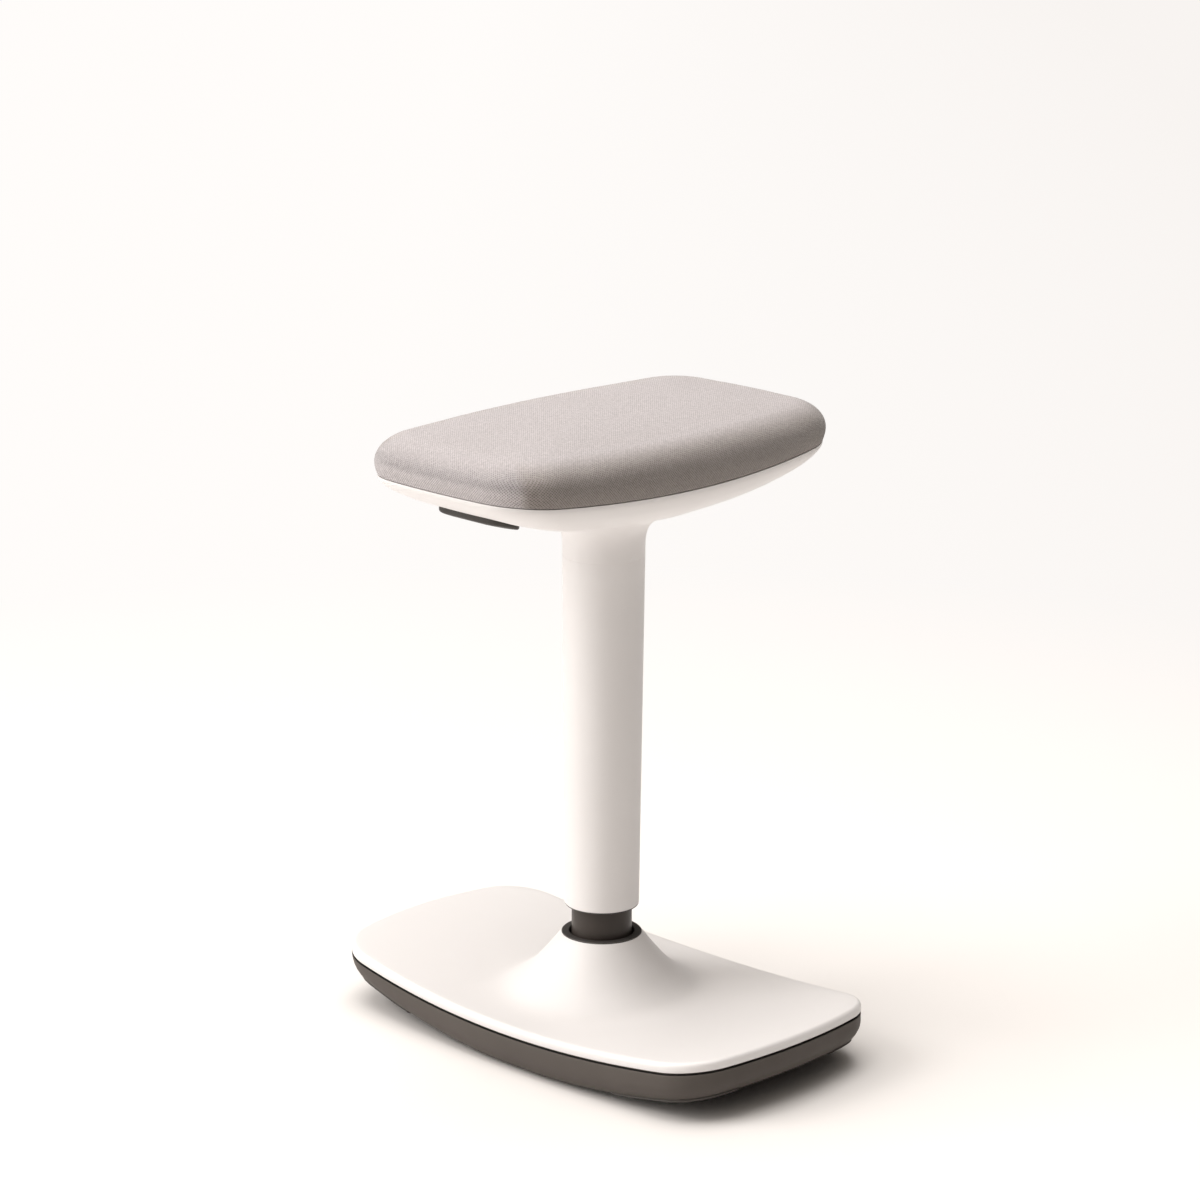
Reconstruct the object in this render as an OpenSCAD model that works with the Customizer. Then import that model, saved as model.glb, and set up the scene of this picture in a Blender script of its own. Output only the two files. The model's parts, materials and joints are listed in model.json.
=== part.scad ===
// Height-adjustable rocking stool: a padded saddle-shaped seat on a gas-lift column,
// standing on a weighted base whose underside is a shallow rocker.
// X runs along the seat, Y along the base, Z up. The origin is on the floor under the column.

/* [Base] */
// Width of the base across X
base_w = 243.4; // [200:0.1:300]
// Length of the base along Y
base_l = 440.8; // [380:0.1:520]
// How far each long side bows outwards
base_side_bow = 9.3; // [4:0.1:16]
// How far each short end bows outwards
base_end_bow = 6.8; // [3:0.1:14]
// Corner radius of the base in plan
base_corner_r = 47; // [36:0.5:60]
// Radius of the upward curve of the base along its length
deck_r = 1384; // [1000:1:2400]
// Height of the joint between cover and pan at mid length
joint_z = 30.8; // [29:0.1:40]
// Thickness of the cover's edge
cover_edge = 8.4; // [7:0.1:14]
// Radius of the cover's upper edge
cover_round = 4; // [2:0.1:6]
// Wall of the cover
cover_wall = 3.5; // [2.5:0.1:4.5]
// Wall of the pan
pan_wall = 4; // [3:0.1:6]
// Radius of the pan's lower edge
pan_round = 18; // [14:0.5:20]
// Radius of the rocker underside
tread_r = 880; // [800:5:1400]
// Length of the flat land that the rocker stands on
tread_land = 60; // [40:1:70]
// Place of the land's middle along Y
rocker_y = -16; // [-20:0.5:0]
// Height of the shadow line between cover and pan
reveal = 1.3; // [0.6:0.1:1.6]

/* [Corner pads] */
// How far the corner pads stand proud of the underside
pad_proud = 1.3; // [0.8:0.1:3]
// Distance from the middle of the base to the pads, along Y
pad_from_y = 119; // [100:1:150]
// Distance from the middle of the base to the pads, along X
pad_from_x = 57; // [40:1:80]

/* [Ballast] */
// Width of the ballast plate
ballast_w = 168; // [160:1:176]
// Length of the ballast plate
ballast_l = 290; // [270:1:300]
// Thickness of the ballast plate
ballast_t = 12; // [10:0.5:14]
// Height of the ballast plate's underside
ballast_z = 16; // [15.5:0.1:17]
// Distance between the rows of base screws across X
screw_row = 140; // [120:1:148]
// Distance between neighbouring base screws along Y
screw_step = 95; // [80:1:97]
// Shank radius of the base screws
base_screw_r = 2.5; // [2:0.1:3]

/* [Trumpet] */
// Radius of the trumpet where it meets the collar ring
neck_r = 33.8; // [33.2:0.1:37]
// Height of the top of the trumpet
neck_z = 87.1; // [80:0.1:96]
// Radius at which the trumpet has run out into the deck
trumpet_r = 98; // [85:1:108]

/* [Stand tube] */
// Outer diameter of the stand tube
tube_d = 50; // [46:0.1:52]
// Wall of the stand tube
tube_wall = 2; // [1.5:0.1:3]
// Length of tube left above the sleeve bush with the seat fully up
tube_spare = 22; // [15:1:35]
// Height of the tube's inner floor
floor_z = 49; // [46:0.5:55]
// Thickness of the tube's inner floor
floor_t = 6; // [4:0.5:8]
// Radius of the flange at the foot of the tube
flange_r = 55; // [50:1:62]
// Thickness of the flange
flange_t = 8; // [6:0.5:9]
// Pitch circle of the flange bolts
flange_pcd = 84; // [80:1:88]
// Shank radius of the flange bolts
flange_bolt_r = 4; // [3:0.1:5]
// Height of the collar ring above the trumpet
ring_h = 1.2; // [1:0.1:4]
// Outer radius of the collar ring
ring_r = 33.2; // [32.5:0.1:33.8]
// Gap between collar ring and stand tube
ring_gap = 2; // [1.5:0.1:2.5]

/* [Gas lift] */
// Height travel of the seat
travel = 200; // [150:1:205]
// Outer diameter of the gas cylinder
cyl_d = 28; // [26:0.1:30]
// Wall of the gas cylinder
cyl_wall = 1.6; // [1.2:0.1:2.4]
// Diameter of the piston rod
rod_d = 10; // [8:0.1:12]
// Diameter of the journal at the foot of the rod
journal_d = 8; // [6:0.1:9]
// Height of the piston head
head_h = 14; // [10:0.5:18]
// Length of the rod guide in the cylinder's mouth
rod_guide_l = 20; // [14:1:26]
// Length of the guide bush in the stand tube
bush_l = 95; // [80:1:110]
// Length of each running land of the guide bush
bush_land = 22; // [15:1:30]
// Radial running clearance of every sliding pair
run_gap = 0.05; // [0.03:0.01:0.08]
// Radial clearance of pieces that are fixed together
fit_gap = 0.02; // [0.01:0.01:0.05]
// Number of balls in the thrust bearing
ball_n = 9; // [7:1:9]
// Radius of a bearing ball
ball_r = 1.5; // [1.2:0.1:1.6]
// Thickness of a bearing race
race_t = 2; // [1.5:0.1:3]
// Thickness of the rubber buffer
buffer_t = 8; // [6:0.5:12]
// Length of the taper at the top of the cylinder
taper_l = 34; // [28:1:36]
// Radius lost over the taper
taper_drop = 0.9; // [0.6:0.05:1.2]

/* [Column sleeve] */
// Height of the sleeve's lower edge with the seat down
sleeve_z = 113; // [100:0.25:130]
// Outer radius of the sleeve at its lower edge
sleeve_r = 30.8; // [30:0.1:32]
// Outer radius of the sleeve where it meets the seat shell
sleeve_top_r = 33.75; // [33:0.05:36]
// Length of the shell's straight collar between sleeve and flare
collar_l = 7; // [5:0.1:12]
// Wall of the sleeve
sleeve_wall = 2.4; // [2:0.1:3]
// Length of the sleeve bush
sleeve_bush_l = 28; // [20:1:40]
// How far the sleeve bush shows under the sleeve
sleeve_rim = 1; // [0.8:0.1:3]

/* [Seat] */
// Length of the seat along X
seat_w = 378.4; // [350:0.1:420]
// Depth of the seat along Y
seat_d = 217.8; // [195:0.1:250]
// How far the seat's short ends bow outwards
seat_end_bow = 2.4; // [1:0.1:8]
// How far the seat's long sides bow outwards
seat_side_bow = 12; // [6:0.1:18]
// Corner radius of the seat in plan
seat_corner_r = 50.5; // [44:0.5:60]
// Height of the joint between cushion and shell at the middle
seat_z = 484.2; // [480:0.1:500]
// Radius of the upward curve of the seat along its length
saddle_r = 1857; // [1500:1:4000]
// Height of the upright rim of the shell
rim_h = 5.2; // [3:0.1:8]
// Depth of the bowl under the rim
bowl_h = 27.2; // [25:0.1:34]
// Steepness of the bowl towards the short ends
bowl_power_x = 3.66; // [3:0.01:5]
// Steepness of the bowl towards the long sides
bowl_power_y = 5.58; // [4:0.01:7]
// Wall of the shell
shell_wall = 3; // [2.5:0.1:3.5]
// Height of the flare between shell and collar
flare_h = 36.7; // [28:0.1:40]
// How far the flare spreads from the collar
flare_w = 38.2; // [30:0.1:44]
// Thickness of the seat board
board_t = 7; // [6:0.1:8]

/* [Cushion] */
// Height of the cushion's side at mid length
cushion_h = 39.4; // [32:0.1:50]
// Radius of the cushion's upper edge
cushion_round = 26.7; // [18:0.1:30]
// Crown of the cushion's top
cushion_crown = 5.9; // [2:0.1:10]
// How far the sides stand out over the shell
cushion_bulge = 2.5; // [0.5:0.1:4]
// Share of the seat's curve that is left in the cushion's top
cushion_dish = 0.25; // [0:0.05:0.6]

/* [Release lever] */
// Distance from the column's axis to the lever's axle
axle_x = 40; // [37:0.5:44]
// Radius of the lever's axle
axle_r = 3; // [2:0.1:3.5]
// Distance from the shell's short end to the middle of the paddle
paddle_in = 49.2; // [45:0.1:55]
// Length of the paddle along Y
paddle_l = 75; // [60:1:90]
// Width of the paddle along X
paddle_w = 30; // [24:1:34]
// Thickness of the paddle
paddle_t = 3.5; // [3:0.1:4.5]
// How far the paddle stands proud of the shell
paddle_proud = 2.1; // [1.5:0.1:4]
// How much further the paddle's face swells out at its middle
paddle_swell = 4; // [2:0.1:6]
// Gap between paddle and shell
paddle_gap = 1.2; // [0.8:0.1:2]
// Width of the lever's steel arm
arm_w = 16; // [12:0.5:22]
// Thickness of the lever's steel arm
arm_t = 4; // [3:0.1:5]
// Radius of the release pin
pin_r = 3; // [2:0.1:3.6]

/* [Hidden] */

// Facets of round parts, and points on one quarter of a bowed outline
$fn = 72;
side_n = 5;
corner_n = 7;
quarter_n = 2 * side_n + corner_n;
ring_n = 4 * quarter_n;
// Steps of a rounded edge, a small overlap that makes cuts clean, and how far a cut runs past a piece
round_n = 5;
eps = 0.1;
over = 10;
// Bevels on turned and moulded edges
bevel = 0.5;
wide_bevel = 1;
// Air left between pieces that only rest on each other
rest_gap = 0.3;

// Heights of the curved surfaces
function sag(d, r) = r - sqrt(r * r - d * d);
tread_dip = sag(tread_land / 2, tread_r);
function tread(y) = sag(y - rocker_y, tread_r) - tread_dip;
function joint(y) = joint_z + sag(y, deck_r);
function saddle(x) = seat_z + sag(x, saddle_r);

// Lowest point of the shell, and the flare that runs from it down to the sleeve
bowl_z = seat_z - rim_h - bowl_h;
flare_top = bowl_z + 1.9;
sleeve_top = flare_top - flare_h - collar_l;
paddle_x = seat_w / 2 - paddle_in;

// Stack of the gas lift. At full travel the piston head stops just above the rod guide.
tube_top = sleeve_z + sleeve_bush_l + travel + tube_spare;
ballast_top = ballast_z + ballast_t;
tube_r = tube_d / 2;
tube_bore = tube_r - tube_wall;
cyl_r = cyl_d / 2;
cyl_bore = cyl_r - cyl_wall;
rod_r = rod_d / 2;
journal_r = journal_d / 2;
race_z = floor_z + floor_t;
cage_z = race_z + race_t;
upper_race_z = cage_z + 2 * ball_r;
buffer_z = upper_race_z + race_t;
cyl_z = buffer_z + buffer_t + rest_gap;
lip_t = 2;
guide_z = cyl_z + lip_t;
rod_top = guide_z + rod_guide_l + travel + head_h + wide_bevel;
ball_ring_r = 11;
race_r = 15;
cage_play = 1.5;
clip_t = 1.2;
clip_washer_t = 1.5;
journal_end = 3;

// Bracket under the seat board
bracket_t = 3;
channel_h = 14.5;
bracket_top = seat_z - board_t - 2 * rest_gap;
web_z = bracket_top - bracket_t - channel_h;
web_w = 44;
bracket_w = 130;
bracket_d = 104;
bolt_x = 54;
bolt_y = 40;
hub_r = 19;
hub_z = web_z - taper_l + bracket_t;
cyl_top = web_z + bracket_t;
axle_play = 0.1;
pin_top = cyl_top + 5;
arm_z = pin_top + rest_gap;
axle_z = arm_z + arm_t / 2;
valve_h = 30;
board_inset = 9;
shell_screw_x = 104;
shell_screw_y = 58;
shell_screw_r = 2;
paddle_r = 13;

// Evenly spaced points on an arc, without its last point
function arc_pts(c, r, a0, a1, n) =
    [for (i = [0 : n - 1]) let (a = a0 + (a1 - a0) * i / n) [c[0] + r * cos(a), c[1] + r * sin(a)]];

// One quarter of a rounded rectangle whose sides bow outwards, as three arcs
function quarter(hx, hy, bx, by, rc) =
    let (a = hx - bx - rc, b = hy - by - rc)
    let (rx = (b * b + bx * bx) / (2 * bx), ry = (a * a + by * by) / (2 * by))
    let (tx = asin(b / rx), ty = asin(a / ry))
    concat(arc_pts([a + bx - rx, 0], rx + rc, 0, tx, side_n),
        arc_pts([a, b], rc, tx, 90 - ty, corner_n),
        arc_pts([0, b + by - ry], ry + rc, 90 - ty, 90, side_n));

// The whole outline, anticlockwise from the middle of the +X side
function outline(hx, hy, bx, by, rc) =
    let (q = quarter(hx, hy, bx, by, rc), k = quarter_n - 1)
    concat(q, [[0, hy]], [for (i = [k : -1 : 1]) [-q[i][0], q[i][1]]],
        [[-hx, 0]], [for (i = [1 : k]) [-q[i][0], -q[i][1]]],
        [[0, -hy]], [for (i = [k : -1 : 1]) [q[i][0], -q[i][1]]]);

function base_outline(d) =
    outline(base_w / 2 - d, base_l / 2 - d, base_side_bow, base_end_bow, base_corner_r - d);
function seat_outline(d) =
    outline(seat_w / 2 - d, seat_d / 2 - d, seat_end_bow, seat_side_bow, seat_corner_r - d);

// Faces between neighbouring rings, and end faces that join mirrored points of one ring
function wall_faces(count) = [for (k = [0 : count - 2], i = [0 : ring_n - 1], t = [0, 1])
    let (j = (i + 1) % ring_n, lo = k * ring_n, hi = lo + ring_n)
    t == 0 ? [lo + i, hi + i, hi + j] : [lo + i, hi + j, lo + j]];
function across_x(start) = [for (h = [0, 1], i = [0 : quarter_n - 1])
    let (a = start + 2 * quarter_n * h + i, b = 2 * quarter_n * (1 + h) - i)
    i == quarter_n - 1 ? [a, a + 1, a + 2] : [a, a + 1, start + b - 1, start + b % ring_n]];
function across_y(start) = [for (i = [0 : 2 * quarter_n - 1])
    i == 0 ? [start, start + 1, start + ring_n - 1]
        : i == 2 * quarter_n - 1 ? [start + i, start + i + 1, start + ring_n - i]
        : [start + i, start + i + 1, start + ring_n - i - 1, start + ring_n - i]];
function flipped(faces) = [for (f = faces) [for (i = [len(f) - 1 : -1 : 0]) f[i]]];

// A solid through a stack of rings, lowest first
module loft(rings, along_y) {
    last = (len(rings) - 1) * ring_n;
    ends = along_y ? concat(across_x(0), flipped(across_x(last)))
        : concat(across_y(0), flipped(across_y(last)));
    polyhedron(points = [for (r = rings, p = r) p], faces = concat(wall_faces(len(rings)), ends));
}

function tread_ring(d, h) = [for (p = base_outline(d)) [p[0], p[1], tread(p[1]) + h]];
function joint_ring(d, h) = [for (p = base_outline(d)) [p[0], p[1], joint(p[1]) + h]];
function saddle_ring(d, h) = [for (p = seat_outline(d)) [p[0], p[1], saddle(p[0]) + h]];

// A rounded edge in section: the quarter circle at angle a, as [inset, rise]
function edge_in(r, a) = r * (1 - cos(a));
function edge_up(r, a) = r * sin(a);

function bezier(p, t) = p[0] * pow(1 - t, 3) + p[1] * 3 * t * pow(1 - t, 2)
    + p[2] * 3 * t * t * (1 - t) + p[3] * pow(t, 3);

module round_rect(w, l, r) {
    square([w - 2 * r, l], center = true);
    square([w, l - 2 * r], center = true);
    for (x = [-1, 1], y = [-1, 1])
        translate([x * (w / 2 - r), y * (l / 2 - r)])
            circle(r);
}

// The base screws stand in two rows of three about the middle of the rocker
screw_ys = [for (i = [-1, 0, 1]) rocker_y + i * screw_step];

module at_base_screws()
    for (x = [-1, 1], y = screw_ys)
        translate([x * screw_row / 2, y, 0])
            children();

module at_flange_bolts()
    for (a = [45 : 90 : 315])
        rotate(a)
            translate([flange_pcd / 2, 0, 0])
                children();

// The heads of the base screws sit in recesses that follow the rocker
screw_recess = 5.5;
function screw_seat(y) = tread(y) + screw_recess;
screw_head_r = 4.5;
screw_head_h = 3;
screw_boss_r = 7;
screw_play = 0.3;
head_play = 1;
screw_bite = 10;
socket_share = 0.8;

// Base

module pan_outside()
    loft(concat([for (t = [0 : round_n]) let (a = 90 - 90 * t / round_n)
            tread_ring(edge_in(pan_round, a), pan_round - edge_up(pan_round, a))],
        [joint_ring(0, -reveal), joint_ring(2 * reveal, eps - reveal), joint_ring(2 * reveal, -run_gap)]), true);

module pan_hollow() {
    chamfer = 3 * pan_wall;
    loft([tread_ring(chamfer, pan_wall), tread_ring(pan_wall, chamfer),
        joint_ring(pan_wall, wide_bevel)], true);
}

// The land is a flat patch with round corners, a touch proud of the underside round it
land_proud = 0.2;
land_margin = 8;
land_r = 18;

module below_floor() {
    translate([-base_w, -base_l, -over])
        cube([2 * base_w, 2 * base_l, over]);
    difference() {
        translate([-base_w, -base_l, -over])
            cube([2 * base_w, 2 * base_l, over + land_proud]);
        translate([0, rocker_y, -2 * over])
            linear_extrude(3 * over)
                round_rect(base_w - 2 * pan_round - 2 * land_margin, tread_land - land_margin, land_r);
    }
}

module base_pan()
    color([0.3, 0.28, 0.27]) difference() {
        union() {
            difference() {
                pan_outside();
                pan_hollow();
            }
            for (x = [-1, 1], y = screw_ys)
                translate([x * screw_row / 2, y, tread(y) + pan_wall / 2])
                    cylinder(r = screw_boss_r, h = ballast_z - tread(y) - pan_wall / 2);
        }
        below_floor();
        for (x = [-1, 1], y = screw_ys)
            translate([x * screw_row / 2, y, -eps]) {
                cylinder(r = base_screw_r + screw_play, h = ballast_z + over);
                cylinder(r = screw_head_r + head_play, h = screw_seat(y) + eps);
            }
    }

// The pads are a skin over the underside and lower edge at the four corners
pad_sweep = 35;

module pad_skin() {
    r = pan_round + pad_proud;
    root_r = pan_round - pan_wall / 2;
    loft(concat([for (t = [0 : round_n - 1]) let (a = 90 - pad_sweep * t / (round_n - 1))
            tread_ring(pan_round - r * cos(a), pan_round - r * sin(a))],
        [tread_ring(pan_round - root_r * sin(pad_sweep), pan_round - root_r * cos(pad_sweep))]), true);
}

module corner_pads()
    color([0.24, 0.23, 0.22]) difference() {
        intersection() {
            pad_skin();
            for (x = [0, 1], y = [0, 1])
                mirror([x, 0, 0])
                    mirror([0, y, 0])
                        translate([pad_from_x, pad_from_y, -base_l])
                            cube([base_w, base_l, 2 * base_l]);
        }
        pan_outside();
    }

ballast_corner_r = 20;

module ballast_plate()
    color([0.35, 0.36, 0.38]) difference() {
        translate([0, rocker_y, ballast_z])
            linear_extrude(ballast_t)
                round_rect(ballast_w, ballast_l, ballast_corner_r);
        at_base_screws()
            translate([0, 0, ballast_z - over])
                cylinder(r = base_screw_r + screw_play, h = ballast_t + 2 * over);
        at_flange_bolts() {
            translate([0, 0, ballast_z - over])
                cylinder(r = flange_bolt_r + screw_play, h = ballast_t + 2 * over);
            translate([0, 0, ballast_z - eps])
                cylinder(r1 = 2 * flange_bolt_r + screw_play, r2 = flange_bolt_r + screw_play,
                    h = flange_bolt_r + eps);
        }
    }

// The base screws run through pan and ballast into the bosses of the cover
base_screw_top = ballast_top + screw_bite;

module base_screws()
    color([0.6, 0.6, 0.6])
        for (x = [-1, 1], y = screw_ys)
            translate([x * screw_row / 2, y, screw_seat(y)]) {
                cylinder(r = base_screw_r, h = base_screw_top - screw_seat(y));
                difference() {
                    translate([0, 0, -screw_head_h])
                        cylinder(r = screw_head_r, h = screw_head_h);
                    translate([0, 0, -screw_head_h - eps])
                        cylinder(r = base_screw_r * socket_share, h = screw_head_h / 2 + eps, $fn = 6);
                }
            }

deck_z = joint_z + cover_edge;
trumpet_n = 14;
// How steeply the trumpet leaves the neck and runs out into the deck
neck_pull = [18, -23];
deck_pull = [-32, 3.6];
deck_sink = 1.4;

function trumpet_curve(in, down) = [for (t = [0 : trumpet_n]) bezier([[neck_r - in, neck_z - down],
    [neck_r - in + neck_pull[0], neck_z - down + neck_pull[1]],
    [trumpet_r - in + deck_pull[0], deck_z - down + deck_pull[1]],
    [trumpet_r - in, deck_z - down - deck_sink]], t / trumpet_n)];

cover_bevel = 0.8;
trumpet_foot = 3;

module cover_outside() {
    loft(concat([joint_ring(cover_bevel, 0), joint_ring(0, cover_bevel)],
        [for (t = [0 : round_n]) let (a = 90 * t / round_n)
            joint_ring(edge_in(cover_round, a), cover_edge - cover_round + edge_up(cover_round, a))]), true);
    rotate_extrude()
        polygon(concat([[0, neck_z]], trumpet_curve(0, 0),
            [[trumpet_r, joint_z + trumpet_foot], [0, joint_z + trumpet_foot]]));
}

module cover_hollow() {
    loft([joint_ring(cover_wall, -over), joint_ring(cover_wall, cover_edge - cover_wall)], true);
    rotate_extrude()
        polygon(concat([[0, neck_z + over], [neck_r - cover_wall, neck_z + over]],
            trumpet_curve(cover_wall, cover_wall),
            [[trumpet_r - cover_wall, joint_z - over], [0, joint_z - over]]));
}

module base_cover()
    color([0.93, 0.91, 0.89]) difference() {
        union() {
            difference() {
                cover_outside();
                cover_hollow();
            }
            intersection() {
                cover_outside();
                at_base_screws()
                    translate([0, 0, joint_z])
                        cylinder(r = screw_boss_r, h = neck_z);
            }
            for (x = [-1, 1], y = screw_ys)
                translate([x * screw_row / 2, y, ballast_top])
                    cylinder(r = screw_boss_r, h = joint(y) + wide_bevel - ballast_top);
        }
        at_base_screws()
            translate([0, 0, ballast_top - over])
                cylinder(r = base_screw_r + fit_gap, h = screw_bite + over + wide_bevel);
    }

// Column: the flange has a collar that tapers up round the foot of the tube
flange_top = ballast_top + flange_t;
collar_h = 7;
collar_w = 8;

module column_flange()
    color([0.25, 0.25, 0.27]) difference() {
        rotate_extrude()
            polygon([[tube_r + fit_gap, ballast_top], [flange_r, ballast_top],
                [flange_r, flange_top - wide_bevel], [flange_r - wide_bevel, flange_top],
                [tube_r + collar_w, flange_top], [tube_r + collar_w / 2, flange_top + collar_h],
                [tube_r + fit_gap, flange_top + collar_h]]);
        at_flange_bolts()
            translate([0, 0, ballast_top - over])
                cylinder(r = flange_bolt_r + fit_gap, h = flange_t + 2 * over);
    }

module flange_bolts()
    color([0.55, 0.55, 0.55])
        at_flange_bolts()
            translate([0, 0, ballast_z]) {
                difference() {
                    cylinder(r1 = 2 * flange_bolt_r, r2 = flange_bolt_r, h = flange_bolt_r);
                    translate([0, 0, -eps])
                        cylinder(r = flange_bolt_r * socket_share, h = flange_bolt_r / 2, $fn = 6);
                }
                translate([0, 0, flange_bolt_r])
                    cylinder(r = flange_bolt_r, h = ballast_t + flange_t - flange_bolt_r - wide_bevel);
            }

module stand_tube()
    color([0.25, 0.24, 0.23]) difference() {
        rotate_extrude()
            polygon([[0, ballast_top], [tube_r, ballast_top], [tube_r, tube_top - bevel],
                [tube_r - bevel, tube_top], [0, tube_top]]);
        translate([0, 0, ballast_top - over])
            cylinder(r = tube_bore, h = floor_z - ballast_top + over);
        translate([0, 0, race_z])
            cylinder(r = tube_bore, h = tube_top);
        translate([0, 0, ballast_top])
            cylinder(r = journal_r + run_gap, h = race_z);
    }

// The bush hangs in the tube by a lip, and runs on a land at each end
bush_lip = 3;
bush_relief = 2;

module guide_bush() {
    low = tube_top - bush_l;
    bore = cyl_r + run_gap;
    relief = cyl_r + bush_relief;
    top = tube_top + bush_lip;
    lip_r = tube_r - bevel;
    color([0.15, 0.15, 0.15]) rotate_extrude()
        polygon([[bore, low], [tube_bore - wide_bevel, low], [tube_bore - fit_gap, low + bush_lip],
            [tube_bore - fit_gap, tube_top + rest_gap], [lip_r, tube_top + rest_gap],
            [lip_r, top - wide_bevel], [lip_r - wide_bevel, top], [bore, top],
            [bore, tube_top - bush_land], [relief, tube_top - bush_land - bush_relief],
            [relief, low + bush_land + bush_relief], [bore, low + bush_land]]);
}

// The collar ring plugs into the mouth of the trumpet and lies flat on its edge
ring_plug = 6;

module column_ring() {
    bore = tube_r + ring_gap;
    top = neck_z + ring_h;
    low = neck_z - ring_plug;
    plug_r = neck_r - cover_wall - fit_gap;
    color([0.2, 0.19, 0.18]) rotate_extrude()
        polygon([[bore, low], [plug_r - bevel, low], [plug_r, low + bevel],
            [plug_r, neck_z], [ring_r, neck_z], [ring_r, top - bevel], [ring_r - bevel, top],
            [bore + bevel, top], [bore, top - bevel]]);
}

module race(z, bore)
    translate([0, 0, z])
        difference() {
            cylinder(r = race_r, h = race_t);
            translate([0, 0, -eps])
                cylinder(r = bore, h = race_t + 2 * eps);
        }

module lower_race() color([0.7, 0.7, 0.7]) race(race_z, journal_r + rest_gap);
module upper_race() color([0.7, 0.7, 0.7]) race(upper_race_z, journal_r + fit_gap);

module at_balls()
    for (i = [0 : ball_n - 1])
        rotate(360 * i / ball_n)
            translate([ball_ring_r, 0, cage_z + ball_r])
                children();

module ball_cage()
    color([0.75, 0.6, 0.3]) difference() {
        translate([0, 0, cage_z + rest_gap])
            cylinder(r = race_r - bevel, h = 2 * (ball_r - rest_gap));
        translate([0, 0, cage_z])
            cylinder(r = journal_r + cage_play, h = 2 * ball_r);
        at_balls()
            cylinder(r = ball_r + eps, h = 4 * ball_r, center = true);
    }

module bearing_balls()
    color([0.8, 0.8, 0.82])
        at_balls()
            sphere(r = ball_r - fit_gap, $fn = 32);

buffer_w = 6;

module buffer_ring()
    color([0.12, 0.12, 0.12]) rotate_extrude()
        polygon([[rod_r + fit_gap, buffer_z], [rod_r + buffer_w, buffer_z],
            [rod_r + buffer_w - wide_bevel, buffer_z + buffer_t / 2],
            [rod_r + buffer_w, buffer_z + buffer_t], [rod_r + fit_gap, buffer_z + buffer_t]]);

head_z = rod_top - head_h;
stub_r = rod_r * 0.7;
washer_z = floor_z - eps - clip_washer_t;
clip_z = washer_z - clip_t;
groove_r = journal_r * 0.8;
washer_w = 5;
clip_w = 3;

module piston_rod()
    color([0.8, 0.8, 0.82]) rotate_extrude()
        polygon([[0, clip_z - journal_end], [journal_r - bevel, clip_z - journal_end],
            [journal_r, clip_z - journal_end + bevel], [journal_r, clip_z], [groove_r, clip_z],
            [groove_r, washer_z], [journal_r, washer_z], [journal_r, buffer_z], [rod_r, buffer_z],
            [rod_r, head_z], [stub_r, head_z], [stub_r, rod_top], [0, rod_top]]);

module clip_washer()
    color([0.7, 0.7, 0.7])
        translate([0, 0, washer_z])
            difference() {
                cylinder(r = journal_r + washer_w, h = clip_washer_t);
                translate([0, 0, -eps])
                    cylinder(r = journal_r + fit_gap, h = clip_washer_t + 2 * eps);
            }

// Spring clip with an open side, snapped into the groove of the journal
module retaining_clip()
    color([0.5, 0.5, 0.5])
        translate([0, 0, clip_z + fit_gap])
            difference() {
                cylinder(r = journal_r + clip_w, h = clip_t - 2 * fit_gap);
                translate([0, 0, -eps])
                    cylinder(r = groove_r + fit_gap, h = clip_t + 2 * eps);
                translate([0, -groove_r - fit_gap, -eps])
                    cube([2 * (journal_r + clip_w), 2 * (groove_r + fit_gap), clip_t + 2 * eps]);
            }

seal_h = 3;
seal_w = 2.5;
seal_z = head_z + head_h / 2 - seal_h / 2;
head_r = cyl_bore - rest_gap;

module piston_head()
    color([0.6, 0.6, 0.62]) rotate_extrude()
        polygon([[stub_r + fit_gap, head_z], [head_r - wide_bevel, head_z],
            [head_r, head_z + wide_bevel], [head_r, seal_z], [head_r - seal_w, seal_z],
            [head_r - seal_w, seal_z + seal_h], [head_r, seal_z + seal_h],
            [head_r, rod_top - wide_bevel], [head_r - wide_bevel, rod_top],
            [stub_r + fit_gap, rod_top]]);

module piston_seal()
    color([0.1, 0.1, 0.1])
        translate([0, 0, seal_z + fit_gap])
            difference() {
                cylinder(r = cyl_bore - run_gap, h = seal_h - 2 * fit_gap);
                translate([0, 0, -eps])
                    cylinder(r = head_r - seal_w + fit_gap, h = seal_h + 2 * eps);
            }

taper_z = cyl_top - taper_l;
valve_z = cyl_top - valve_h;
valve_r = cyl_bore - 1.4;
mouth_r = rod_r + 4;

module gas_cylinder()
    color([0.2, 0.2, 0.21]) rotate_extrude()
        polygon([[mouth_r, cyl_z], [cyl_r - wide_bevel, cyl_z], [cyl_r, cyl_z + wide_bevel],
            [cyl_r, taper_z], [cyl_r - taper_drop, cyl_top], [valve_r + fit_gap, cyl_top],
            [valve_r + fit_gap, valve_z], [cyl_bore, valve_z - wide_bevel], [cyl_bore, guide_z],
            [mouth_r, guide_z]]);

module rod_guide()
    color([0.9, 0.9, 0.85])
        translate([0, 0, guide_z + fit_gap])
            difference() {
                cylinder(r = cyl_bore - fit_gap, h = rod_guide_l);
                translate([0, 0, -eps])
                    cylinder(r = rod_r + run_gap, h = rod_guide_l + 2 * eps);
            }

module valve_body()
    color([0.7, 0.6, 0.35]) difference() {
        translate([0, 0, valve_z])
            cylinder(r = valve_r, h = valve_h);
        translate([0, 0, valve_z - over])
            cylinder(r = pin_r + run_gap, h = valve_h + 2 * over);
    }

// Sleeve

sleeve_bore = sleeve_r - sleeve_wall;
spigot_r = sleeve_top_r - sleeve_wall - bevel;
spigot_l = 20;

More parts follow.
